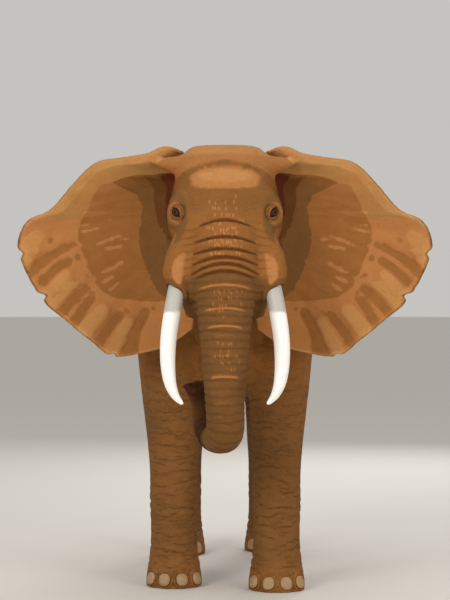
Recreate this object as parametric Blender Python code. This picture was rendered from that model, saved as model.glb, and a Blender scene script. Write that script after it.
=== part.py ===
"""A life-size African bush elephant bull, standing still with its ears spread and its trunk curled at the tip.

Metres, +Z up, the face looks along -Y. The origin is on the floor under the middle of the animal's box.
The flesh is built up as a sculptor would: masses lofted over the skeleton, run together as one body, then
pressed and raised where bone and muscle show. Thin cuts part that body into head, neck, trunk, legs and so on.
"""

import math

import bmesh
import bpy
import numpy as np
from mathutils import Matrix, Vector

# ---------------------------------------------------------------- driving sizes
MIDDLE_Y = -0.51          # design frame's middle of the box, moved to y = 0 at the end
SIDES = 40                # points round a lofted mass
CLAY_VOXEL = 0.025        # grain at which the masses run together
CUT_GAP = 0.0004          # thickness of a parting cut
SEAT_GAP = 0.0003         # clearance of a tusk, eye or nail in its seat
EAR_GAP = 0.0020          # clearance of an ear round the head
LAP = 0.01                # how far a later parting cut reaches into an earlier one
TAIL_END = 1.345          # height at which the tail's flesh ends and its tuft begins


# ---------------------------------------------------------------- general helpers
def smooth_rows(rows, count):
    """Rows of numbers, read off evenly along a Catmull-Rom curve through the given rows."""
    rows = np.array(rows, float)
    padded = np.vstack([2 * rows[0] - rows[1], rows, 2 * rows[-1] - rows[-2]])
    made = []
    for t in np.linspace(0, len(rows) - 1, count):
        i = min(int(t), len(rows) - 2)
        f = t - i
        a, b, c, d = padded[i:i + 4]
        made.append(0.5 * (2 * b + (c - a) * f + (2 * a - 5 * b + 4 * c - d) * f * f
                           + (3 * b - a - 3 * c + d) * f ** 3))
    return np.array(made)


def oval(angle, power):
    """A point of a unit superellipse: power 2 is round, more is squarer."""
    c, s = math.cos(angle), math.sin(angle)
    return (math.copysign(abs(c) ** (2 / power), c), math.copysign(abs(s) ** (2 / power), s))


def loft(rings):
    """A closed bmesh through rings of equally many points."""
    bm = bmesh.new()
    bmesh.ops.create_circle(bm, segments=len(rings[0]), radius=1)
    loop = list(bm.verts)
    edges = list(bm.edges)
    for vert, place in zip(loop, rings[0]):
        vert.co = place
    first = edges
    for ring in rings[1:]:
        made = bmesh.ops.extrude_edge_only(bm, edges=edges)["geom"]
        fresh = {g for g in made if isinstance(g, bmesh.types.BMVert)}
        edges = [g for g in made if isinstance(g, bmesh.types.BMEdge)
                 and g.verts[0] in fresh and g.verts[1] in fresh]
        loop = [next(e.other_vert(v) for e in v.link_edges if e.other_vert(v) in fresh) for v in loop]
        for vert, place in zip(loop, ring):
            vert.co = place
    bmesh.ops.edgeloop_fill(bm, edges=first)
    bmesh.ops.edgeloop_fill(bm, edges=edges)
    bmesh.ops.recalc_face_normals(bm, faces=bm.faces)
    return bm


def tube(rows, count, sides=SIDES):
    """A mass that follows a path. Each row is x, y, z, half width across, half depth."""
    rows = smooth_rows(rows, count)
    places = rows[:, :3]
    ways = np.gradient(places, axis=0)
    rings = []
    for place, way, (wide, deep) in zip(places, ways, rows[:, 3:5]):
        way = Vector(way).normalized()
        across = (Vector((1, 0, 0)) - way * way.x).normalized()
        out = across.cross(way)
        ring = []
        for k in range(sides):
            c, s = oval(2 * math.pi * k / sides, 2)
            ring.append(Vector(place) + across * (wide * c) + out * (deep * s))
        rings.append(ring)
    return loft(rings)


def mirrored(bm):
    """A copy of a mass on the animal's other side."""
    other = bm.copy()
    bmesh.ops.scale(other, vec=(-1, 1, 1), verts=other.verts)
    bmesh.ops.reverse_faces(other, faces=other.faces)
    return other


# ---------------------------------------------------------------- the masses of the flesh
# torso: y, half width, top, bottom, height of the widest point
TORSO = [
    (-1.30, 0.10, 2.45, 2.10, 2.25),
    (-1.25, 0.26, 2.68, 1.84, 2.22),
    (-1.12, 0.42, 2.96, 1.62, 2.18),
    (-0.92, 0.56, 3.14, 1.50, 2.14),
    (-0.62, 0.66, 3.20, 1.48, 2.08),
    (-0.28, 0.73, 3.13, 1.47, 2.04),
    (0.10, 0.78, 3.04, 1.42, 2.00),
    (0.50, 0.79, 3.02, 1.385, 2.00),
    (0.85, 0.75, 3.08, 1.41, 2.04),
    (1.10, 0.67, 3.10, 1.46, 2.15),
    (1.33, 0.56, 3.00, 1.64, 2.25),
    (1.52, 0.42, 2.84, 1.84, 2.32),
    (1.64, 0.26, 2.70, 2.08, 2.38),
    (1.69, 0.10, 2.55, 2.28, 2.42),
]
# neck: the same measures, from between the shoulders to inside the skull
NECK = [
    (-0.72, 0.48, 3.15, 1.76, 2.36),
    (-1.02, 0.48, 3.17, 1.76, 2.38),
    (-1.30, 0.44, 3.21, 1.88, 2.46),
    (-1.56, 0.39, 3.25, 2.05, 2.60),
    (-1.78, 0.32, 3.15, 2.25, 2.70),
]
# head, in level slices: z, front, back, half width, y of the widest point
HEAD = [
    (3.392, -1.68, -1.52, 0.17, -1.60),
    (3.372, -1.77, -1.43, 0.265, -1.60),
    (3.31, -1.86, -1.34, 0.325, -1.60),
    (3.20, -1.95, -1.26, 0.37, -1.62),
    (3.06, -2.04, -1.20, 0.41, -1.64),
    (2.90, -2.11, -1.18, 0.44, -1.68),
    (2.76, -2.16, -1.20, 0.405, -1.68),
    (2.62, -2.19, -1.24, 0.37, -1.68),
    (2.48, -2.20, -1.30, 0.375, -1.70),
    (2.34, -2.16, -1.38, 0.355, -1.72),
    (2.21, -2.08, -1.46, 0.29, -1.72),
    (2.12, -1.98, -1.56, 0.20, -1.74),
]
# lower jaw: y, half width, top, bottom, height of the widest point
JAW = [
    (-1.42, 0.20, 2.42, 2.07, 2.22),
    (-1.60, 0.24, 2.38, 1.99, 2.18),
    (-1.73, 0.195, 2.29, 1.945, 2.12),
    (-1.82, 0.135, 2.19, 1.935, 2.06),
    (-1.89, 0.085, 2.10, 1.955, 2.03),
    (-1.93, 0.048, 2.06, 1.982, 2.025),
    (-1.955, 0.018, 2.04, 2.008, 2.025),
]
# trunk: x, y, z of its line, half width, half depth
TRUNK = [
    (0.0, -1.86, 2.98, 0.20, 0.16),
    (0.0, -2.045, 2.70, 0.245, 0.21),
    (0.0, -2.16, 2.44, 0.245, 0.228),
    (0.0, -2.20, 2.18, 0.212, 0.21),
    (0.0, -2.21, 1.92, 0.180, 0.188),
    (0.0, -2.21, 1.68, 0.160, 0.168),
    (0.0, -2.20, 1.48, 0.146, 0.152),
    (0.004, -2.15, 1.31, 0.142, 0.138),
    (-0.024, -2.05, 1.236, 0.136, 0.122),
    (-0.090, -1.93, 1.245, 0.122, 0.112),
    (-0.142, -1.86, 1.34, 0.108, 0.100),
    (-0.166, -1.84, 1.45, 0.096, 0.090),
    (-0.194, -1.87, 1.55, 0.088, 0.082),
    (-0.218, -1.91, 1.620, 0.088, 0.080),
]
# the finger at the trunk's tip
FINGER = [
    (-0.200, -1.895, 1.560, 0.060, 0.060),
    (-0.250, -1.910, 1.588, 0.048, 0.050),
    (-0.290, -1.925, 1.600, 0.034, 0.036),
    (-0.322, -1.935, 1.596, 0.020, 0.022),
]
# one foreleg and one hind leg: x, y, z, half width, half depth
FORELEG = [
    (0.36, -0.80, 2.62, 0.16, 0.26),
    (0.40, -0.84, 2.30, 0.24, 0.35),
    (0.415, -0.88, 1.95, 0.255, 0.36),
    (0.42, -0.92, 1.65, 0.245, 0.31),
    (0.415, -0.94, 1.40, 0.225, 0.265),
    (0.405, -0.95, 1.12, 0.202, 0.225),
    (0.40, -0.955, 0.88, 0.190, 0.205),
    (0.40, -0.965, 0.66, 0.190, 0.212),
    (0.40, -0.955, 0.44, 0.182, 0.196),
    (0.40, -0.955, 0.26, 0.190, 0.206),
    (0.40, -0.962, 0.11, 0.213, 0.234),
    (0.40, -0.966, 0.035, 0.224, 0.248),
    (0.40, -0.966, 0.0, 0.219, 0.243),
    (0.40, -0.966, -0.08, 0.205, 0.225),
]
HINDLEG = [
    (0.33, 1.08, 2.62, 0.18, 0.34),
    (0.37, 1.10, 2.25, 0.245, 0.45),
    (0.385, 1.09, 1.90, 0.25, 0.43),
    (0.385, 1.05, 1.58, 0.228, 0.365),
    (0.38, 1.02, 1.30, 0.202, 0.295),
    (0.37, 1.05, 1.04, 0.178, 0.240),
    (0.365, 1.12, 0.80, 0.158, 0.205),
    (0.36, 1.175, 0.58, 0.152, 0.190),
    (0.36, 1.17, 0.38, 0.150, 0.175),
    (0.36, 1.155, 0.23, 0.160, 0.184),
    (0.36, 1.138, 0.10, 0.181, 0.212),
    (0.36, 1.130, 0.03, 0.190, 0.226),
    (0.36, 1.130, 0.0, 0.185, 0.221),
    (0.36, 1.130, -0.08, 0.172, 0.206),
]
# sheath of one tusk: from the skull in front of the eye down to the lip
TUSK_SHEATH = [
    (0.215, -1.90, 2.86, 0.09, 0.09),
    (0.258, -2.00, 2.70, 0.120, 0.115),
    (0.298, -2.06, 2.54, 0.140, 0.130),
    (0.318, -2.09, 2.43, 0.136, 0.128),
    (0.336, -2.12, 2.35, 0.115, 0.113),
    (0.349, -2.155, 2.28, 0.088, 0.088),
]
# upper lip, hanging beside the trunk behind each tusk
LIP = [
    (0.20, -1.90, 2.45, 0.12, 0.16),
    (0.22, -1.97, 2.31, 0.11, 0.14),
    (0.218, -1.98, 2.175, 0.088, 0.11),
    (0.205, -1.97, 2.095, 0.048, 0.06),
]
# muscle from which the top of the ear rises, beside the crown
EAR_ROOT = [
    (0.26, -1.77, 3.235, 0.050, 0.060),
    (0.35, -1.70, 3.240, 0.064, 0.066),
    (0.43, -1.635, 3.252, 0.055, 0.058),
    (0.50, -1.602, 3.268, 0.044, 0.048),
    (0.56, -1.594, 3.282, 0.026, 0.028),
]
TAIL = [
    (0.0, 1.55, 2.72, 0.105, 0.12),
    (0.0, 1.68, 2.56, 0.088, 0.092),
    (0.0, 1.78, 2.34, 0.066, 0.062),
    (0.01, 1.82, 2.07, 0.050, 0.046),
    (0.02, 1.83, 1.82, 0.042, 0.039),
    (0.03, 1.825, 1.58, 0.036, 0.034),
    (0.035, 1.82, 1.30, 0.032, 0.031),
]
# one ear, as rays from its root on the head to its rim: root x, y, z, rim x, y, z
EAR = [
    (0.20, -1.50, 3.30, 0.34, -1.56, 3.352),
    (0.25, -1.47, 3.25, 0.452, -1.58, 3.385),
    (0.28, -1.45, 3.19, 0.59, -1.60, 3.330),
    (0.29, -1.45, 3.12, 0.76, -1.60, 3.300),
    (0.30, -1.45, 3.05, 0.97, -1.58, 3.262),
    (0.31, -1.45, 2.98, 1.15, -1.54, 3.100),
    (0.31, -1.45, 2.92, 1.31, -1.49, 2.925),
    (0.31, -1.45, 2.86, 1.50, -1.44, 2.830),
    (0.31, -1.45, 2.79, 1.572, -1.43, 2.660),
    (0.31, -1.45, 2.71, 1.515, -1.44, 2.460),
    (0.30, -1.45, 2.63, 1.375, -1.46, 2.225),
    (0.30, -1.45, 2.55, 1.20, -1.49, 2.075),
    (0.29, -1.46, 2.47, 1.02, -1.52, 1.930),
    (0.28, -1.48, 2.40, 0.85, -1.55, 1.812),
    (0.27, -1.50, 2.33, 0.62, -1.59, 1.835),
    (0.25, -1.53, 2.26, 0.42, -1.62, 1.895),
    (0.22, -1.56, 2.19, 0.24, -1.64, 2.020),
]
EAR_BOWL = 0.13           # how deep the ear is dished behind the line from root to rim
# the top of the ear bends forward and then folds back: where between the first and last ray, and root and rim
EAR_FOLD = {"turn": 0.16, "turn_reach": 0.16, "out": 0.80, "out_reach": 0.21, "forward": 0.10}
EAR_THICK = (0.060, 0.016)  # at the root and near the rim
# tusk: x, y, z of its line, half width, half depth
TUSK = [
    (0.300, -2.00, 2.52, 0.060, 0.060),
    (0.330, -2.10, 2.40, 0.062, 0.062),
    (0.353, -2.165, 2.285, 0.062, 0.062),
    (0.379, -2.225, 2.14, 0.0610, 0.0610),
    (0.402, -2.315, 1.96, 0.058, 0.058),
    (0.404, -2.43, 1.80, 0.053, 0.053),
    (0.386, -2.58, 1.67, 0.044, 0.044),
    (0.350, -2.73, 1.585, 0.031, 0.031),
    (0.306, -2.86, 1.538, 0.017, 0.017),
    (0.292, -2.895, 1.530, 0.009, 0.009),
]
EYE = (0.336, -2.012, 2.868)
EYE_RADIUS = 0.050
# bone and muscle that show: name, centre, reach, push. All but those on the midline act on both sides
RELIEF = [
    ("forehead_dome", (0.0, -2.03, 3.08), (0.24, 0.25, 0.17), (0.0, -0.03, 0.01)),
    ("nasal_hollow", (0.0, -2.15, 2.82), (0.22, 0.15, 0.08), (0.0, 0.02, 0.0)),
    ("temple_hollow", (0.41, -1.76, 3.08), (0.12, 0.17, 0.14), (-0.045, 0.02, 0.0)),
    ("brow", (0.39, -1.97, 2.98), (0.08, 0.10, 0.06), (0.018, -0.02, 0.01)),
    ("orbit", (0.40, -1.94, 2.87), (0.09, 0.11, 0.11), (0.020, -0.035, 0.0)),
    ("eyelids", (0.375, -2.02, 2.872), (0.055, 0.06, 0.05), (0.012, -0.018, 0.0)),
    ("cheek_bone", (0.42, -1.72, 2.74), (0.10, 0.24, 0.09), (0.02, 0.0, 0.0)),
    ("under_eye_hollow", (0.38, -1.98, 2.69), (0.09, 0.14, 0.09), (-0.018, 0.012, 0.0)),
    ("chewing_muscle", (0.34, -1.60, 2.36), (0.14, 0.20, 0.18), (0.035, 0.0, 0.0)),
    ("shoulder_blade", (0.60, -0.80, 2.45), (0.20, 0.13, 0.42), (0.03, 0.0, 0.0)),
    ("behind_shoulder", (0.72, -0.45, 2.15), (0.20, 0.15, 0.45), (-0.035, 0.0, 0.0)),
    ("hip_bone", (0.48, 0.95, 2.88), (0.20, 0.20, 0.14), (0.03, 0.0, 0.03)),
    ("flank_hollow", (0.74, 0.62, 2.48), (0.20, 0.24, 0.28), (-0.04, 0.0, 0.0)),
    ("elbow", (0.44, -0.62, 1.56), (0.16, 0.12, 0.14), (0.0, 0.04, 0.0)),
    ("upper_arm", (0.66, -0.92, 1.95), (0.16, 0.18, 0.24), (0.02, 0.0, 0.0)),
    ("wrist", (0.40, -1.18, 0.68), (0.14, 0.07, 0.12), (0.0, -0.015, 0.0)),
    ("knee_cap", (0.38, 0.72, 1.36), (0.14, 0.09, 0.12), (0.0, -0.03, 0.0)),
    ("sheath_lip", (0.280, -2.21, 2.27), (0.060, 0.09, 0.070), (0.0, 0.0, -0.060)),
    ("sheath_corner", (0.430, -2.19, 2.29), (0.055, 0.09, 0.070), (-0.01, 0.01, 0.045)),
    ("flank_web", (0.44, 0.70, 1.46), (0.12, 0.15, 0.12), (0.0, -0.03, -0.06)),
    ("arm_web", (0.42, -0.52, 1.52), (0.12, 0.14, 0.12), (0.0, 0.03, -0.05)),
    ("hock", (0.36, 1.37, 0.60), (0.12, 0.10, 0.14), (0.0, 0.02, 0.0)),
    ("heel_pad", (0.40, -0.70, 0.12), (0.14, 0.07, 0.10), (0.0, 0.02, 0.0)),
]
SPINE_RIDGE = (0.022, 0.07)  # height and half width of the ridge of the back
STRIDE = {"fore": (-0.13, 0.07), "hind": (0.10, -0.14)}  # how far each foot stands ahead or behind: left, right


def barrel(rows, count):
    """A mass along Y with its own top, bottom and widest height at each station."""
    rings = []
    for y, wide, top, bottom, middle in smooth_rows(rows, count):
        ring = []
        for k in range(SIDES):
            c, s = oval(2 * math.pi * k / SIDES, 2.05)
            ring.append(Vector((wide * c, y, middle + s * ((top - middle) if s > 0 else (middle - bottom)))))
        rings.append(ring)
    return loft(rings)


def slices(rows, count):
    """A mass of level slices, squarer at the front than at the back."""
    rings = []
    for z, front, back, wide, middle in smooth_rows(rows, count):
        ring = []
        for k in range(SIDES):
            angle = 2 * math.pi * k / SIDES
            ahead = math.sin(angle) > 0
            c, s = oval(angle, 2.7 if ahead else 2.2)
            ring.append(Vector((wide * c, middle + s * ((front - middle) if ahead else (middle - back)), z)))
        rings.append(ring)
    return loft(rings)


def masses():
    """Every mass of the flesh but the ears."""
    made = [barrel(TORSO, 40), barrel(NECK, 12), slices(HEAD, 26), barrel(JAW, 14)]
    made += [tube(TRUNK, 64), tube(FINGER, 8), tube(TAIL, 30, sides=16)]
    for rows, count in ((FORELEG, 40), (HINDLEG, 40), (TUSK_SHEATH, 12), (LIP, 8), (EAR_ROOT, 10)):
        one = tube(rows, count)
        made += [one, mirrored(one)]
    return made


def joined(name, pieces):
    """Several bmeshes as one mesh object, in triangles, so that a seat and what sits in it have the same facets."""
    mesh = bpy.data.meshes.new(name)
    whole = bmesh.new()
    for bm in pieces:
        bm.to_mesh(mesh)
        bm.free()
        whole.from_mesh(mesh)
    bmesh.ops.triangulate(whole, faces=whole.faces)
    whole.to_mesh(mesh)
    whole.free()
    obj = bpy.data.objects.new(name, mesh)
    bpy.context.scene.collection.objects.link(obj)
    return obj


def baked(obj):
    """The object with its modifiers made part of its mesh."""
    bpy.context.view_layer.update()
    graph = bpy.context.evaluated_depsgraph_get()
    mesh = bpy.data.meshes.new_from_object(obj.evaluated_get(graph))
    obj.modifiers.clear()
    obj.data = mesh
    return obj


def run_together(obj, voxel):
    clay = obj.modifiers.new("clay", "REMESH")
    clay.mode = "VOXEL"
    clay.voxel_size = voxel
    return baked(obj)



def shaped(points):
    """The run-together masses with the bone and muscle pressed in and raised."""
    points = points.copy()
    for name, centre, reach, push in RELIEF:
        for side in ((1,) if centre[0] == 0 else (1, -1)):
            there = np.array(centre) * (side, 1, 1)
            fade = np.exp(-(((points - there) / reach) ** 2).sum(axis=1))
            points += fade[:, None] * np.array(push) * (side, 1, 1)
    high, half = SPINE_RIDGE
    along = np.clip((points[:, 1] + 1.0) / 0.3, 0, 1) * np.clip((1.6 - points[:, 1]) / 0.3, 0, 1)
    above = np.clip((points[:, 2] - 2.7) / 0.2, 0, 1)
    points[:, 2] += high * np.exp(-(points[:, 0] / half) ** 2) * along * above
    return points


def stance(points):
    """Points as the animal stands: each leg leans, and the middle of the animal is at y = 0."""
    points = points.copy()
    low = np.clip((2.0 - points[:, 2]) / 2.0, 0, 1)
    left = 0.5 + 0.5 * np.tanh(points[:, 0] / 0.08)
    fore = 0.5 - 0.5 * np.tanh((points[:, 1] - 0.05) / 0.25)
    behind_face = np.clip((points[:, 1] + 1.45) / 0.25, 0, 1)     # the face and trunk are free of the legs
    before_tail = np.clip((1.70 - points[:, 1]) / 0.06, 0, 1)
    step = (fore * (left * STRIDE["fore"][0] + (1 - left) * STRIDE["fore"][1])
            + (1 - fore) * (left * STRIDE["hind"][0] + (1 - left) * STRIDE["hind"][1]))
    points[:, 1] += step * low * behind_face * before_tail - MIDDLE_Y
    return points


def ear_middle(rays, across):
    """The middle surface of an ear: rays from the root outwards, each cut into this many steps."""
    ray = smooth_rows(EAR, rays)
    out = np.linspace(0, 1, across)[None, :]
    turn = np.linspace(0, 1, rays)[:, None]
    root, rim = ray[:, None, :3], ray[:, None, 3:]
    middle = root + (rim - root) * out[:, :, None]
    span = np.clip(np.linalg.norm(rim - root, axis=2) / 0.9, 0, 1)
    middle[:, :, 1] += EAR_BOWL * span * np.sin(math.pi * np.clip(out / 0.97, 0, 1)) ** 0.8
    top = np.exp(-((turn - EAR_FOLD["turn"]) / EAR_FOLD["turn_reach"]) ** 2)
    fold = np.exp(-((out - EAR_FOLD["out"]) / EAR_FOLD["out_reach"]) ** 2)
    middle[:, :, 1] -= EAR_FOLD["forward"] * top * fold
    return middle


def ear(rays=23, across=6):
    """A closed ear: the front and back of its middle surface, thick at the root and thin at the rim."""
    middle = ear_middle(rays, across)
    normal = np.cross(np.gradient(middle, axis=0), np.gradient(middle, axis=1))
    normal /= np.linalg.norm(normal, axis=2)[:, :, None]
    out = np.linspace(0, 1, across)[None, :, None]
    thick = EAR_THICK[0] + (EAR_THICK[1] - EAR_THICK[0]) * np.clip(out / 0.35, 0, 1) ** 0.7
    front = middle - normal * thick / 2
    back = middle + normal * thick / 2
    return loft([[Vector(p) for p in row[:-1]] + [Vector(middle[i, -1])] + [Vector(p) for p in back[i][-2::-1]]
                 for i, row in enumerate(front)])


# hair of the tail's end: x, y, z of its line, half width, half depth
TUFT = [
    (0.034, 1.821, 1.3446, 0.031, 0.034),
    (0.036, 1.820, 1.27, 0.036, 0.048),
    (0.038, 1.818, 1.15, 0.037, 0.060),
    (0.040, 1.815, 1.03, 0.030, 0.052),
    (0.041, 1.812, 0.93, 0.012, 0.020),
]
# nails: foot centre x, y, foot half width and half depth at the nails, their bearings from straight ahead
FORE_NAILS = (0.40, -0.966, 0.221, 0.244, (-54, -18, 18, 52))
HIND_NAILS = (0.36, 1.132, 0.188, 0.221, (-40, 0, 38))
NAIL_HEIGHT = 0.072       # of a nail's middle above the floor
NAIL_SIZE = (0.046, 0.020, 0.050)   # half width, half thickness, half height
NAIL_LEAN = math.radians(-17)
FACES_OF_FLESH = 1750

HIDE = ("hide", (0.30, 0.125, 0.035), 0.85)
IVORY = ("ivory", (0.86, 0.82, 0.72), 0.35)
EYE_GLOSS = ("eye", (0.02, 0.010, 0.005), 0.08)
NAIL = ("nail", (0.42, 0.30, 0.18), 0.6)
HAIR = ("tail_hair", (0.03, 0.018, 0.012), 0.7)


def set_points(obj, change):
    mesh = obj.data
    points = np.empty(len(mesh.vertices) * 3)
    mesh.vertices.foreach_get("co", points)
    mesh.vertices.foreach_set("co", change(points.reshape(-1, 3)).ravel())
    mesh.update()


def finished(obj, look):
    """The object with its own material and smooth shading."""
    name, colour, roughness = look
    material = bpy.data.materials.new(f"{name}_{obj.name}")
    material.use_nodes = True
    shader = material.node_tree.nodes["Principled BSDF"]
    shader.inputs["Base Color"].default_value = (*colour, 1)
    shader.inputs["Roughness"].default_value = roughness
    obj.data.materials.clear()
    obj.data.materials.append(material)
    obj.data.shade_smooth()
    obj.data.set_sharp_from_angle(angle=math.radians(50))
    return obj


def boolean(obj, other, operation):
    cut = obj.modifiers.new(operation.lower(), "BOOLEAN")
    cut.operation = operation
    cut.object = other
    cut.solver = "EXACT"
    baked(obj)


def prism(profile, low, high, view):
    """A cutter: an outline in the side view (y, z) or front view (x, z), as deep as from low to high."""
    bm = bmesh.new()
    face = bm.faces.new([bm.verts.new((low, a, z) if view == "side" else (a, low, z)) for a, z in profile])
    made = bmesh.ops.extrude_face_region(bm, geom=[face])["geom"]
    deep = (high - low, 0, 0) if view == "side" else (0, high - low, 0)
    bmesh.ops.translate(bm, vec=deep, verts=[g for g in made if isinstance(g, bmesh.types.BMVert)])
    bmesh.ops.recalc_face_normals(bm, faces=bm.faces)
    return joined("cutter", [bm])


def side_box(y_low, y_high, z_low, z_high):
    return [(y_low, z_low), (y_high, z_low), (y_high, z_high), (y_low, z_high)]


def part_off(whole, name, profile, low, high, view="side"):
    """Takes what lies inside a prism off the whole as a piece of its own, and leaves a thin gap between them."""
    piece = bpy.data.objects.new(name, whole.data.copy())
    bpy.context.scene.collection.objects.link(piece)
    if view == "side":
        profile = [(y - MIDDLE_Y, z) for y, z in profile]
    else:
        low, high = low - MIDDLE_Y, high - MIDDLE_Y
    middle = [sum(p[i] for p in profile) / len(profile) for i in (0, 1)]
    wide = prism(profile, low, high, view)
    near = []
    for a, z in profile:
        share = 1 - 2.5 * CUT_GAP / math.hypot(a - middle[0], z - middle[1])
        near.append((middle[0] + (a - middle[0]) * share, middle[1] + (z - middle[1]) * share))
    narrow = prism(near, low + CUT_GAP, high - CUT_GAP, view)
    boolean(piece, narrow, "INTERSECT")
    boolean(whole, wide, "DIFFERENCE")
    for cutter in (wide, narrow):
        bpy.data.objects.remove(cutter)
    return piece


def grown(bm, gap):
    """A copy of a shape, larger by a gap all round: the seat it is set in."""
    seat = bm.copy()
    seat.normal_update()
    for vert, place in [(v, v.co + v.normal * gap) for v in seat.verts]:
        vert.co = place
    return seat


def set_in(hosts, name, bm, look):
    """A closed piece set into its hosts, which are cut away round it."""
    bmesh.ops.triangulate(bm, faces=bm.faces)
    seat = joined("cutter", [grown(bm, SEAT_GAP)])
    piece = joined(name, [bm])
    for host in hosts:
        boolean(host, seat, "DIFFERENCE")
    bpy.data.objects.remove(seat)
    return finished(piece, look)


def standing(bm):
    """A shape moved from the design frame to where the animal stands."""
    points = stance(np.array([v.co for v in bm.verts]))
    for vert, place in zip(bm.verts, points):
        vert.co = place
    return bm


def nail(foot, bearing):
    centre_x, centre_y, wide, deep, _ = foot
    angle = math.radians(bearing)
    place = Vector((centre_x + wide * math.sin(angle), centre_y - deep * math.cos(angle), NAIL_HEIGHT))
    bm = bmesh.new()
    bmesh.ops.create_uvsphere(bm, u_segments=8, v_segments=5, radius=1)
    bmesh.ops.scale(bm, vec=NAIL_SIZE, verts=bm.verts)
    turn = Matrix.Translation(place) @ Matrix.Rotation(angle, 4, "Z") @ Matrix.Rotation(NAIL_LEAN, 4, "X")
    bmesh.ops.transform(bm, matrix=turn, verts=bm.verts)
    return bm


def flesh_body():
    """The whole flesh but the ears, in few faces and with flat soles."""
    flesh = run_together(joined("torso", masses()), CLAY_VOXEL)
    settle = flesh.modifiers.new("settle", "SMOOTH")
    settle.factor = 0.5
    settle.iterations = 12
    baked(flesh)
    set_points(flesh, shaped)
    set_points(flesh, stance)
    plain = flesh.vertex_groups.new(name="plain")
    for vert in flesh.data.vertices:
        x, y, z = vert.co
        face = y + MIDDLE_Y < -1.35 and z > 1.95
        by_eye = math.dist((abs(x), y + MIDDLE_Y, z), EYE) < 0.11
        plain.add([vert.index], 0.5 if by_eye else 0.92 if face else 1.0, "REPLACE")
    fewer = flesh.modifiers.new("fewer", "DECIMATE")
    fewer.ratio = FACES_OF_FLESH / (2 * len(flesh.data.polygons))
    fewer.vertex_group = "plain"
    baked(flesh)
    ground = joined("cutter", [bmesh.new()])
    bm = bmesh.new()
    bmesh.ops.create_cube(bm, size=1, matrix=Matrix.Translation((0, 0, -0.5)) @ Matrix.Diagonal((9, 9, 1, 1)))
    bm.to_mesh(ground.data)
    bm.free()
    boolean(flesh, ground, "DIFFERENCE")
    bpy.data.objects.remove(ground)
    return flesh


def sides(name):
    """The two sides of the animal: a node name and the sign of x."""
    return ((f"{name}_left", 1), (f"{name}_right", -1))


def across(side, low, high):
    return (low, high) if side > 0 else (-high, -low)


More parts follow.
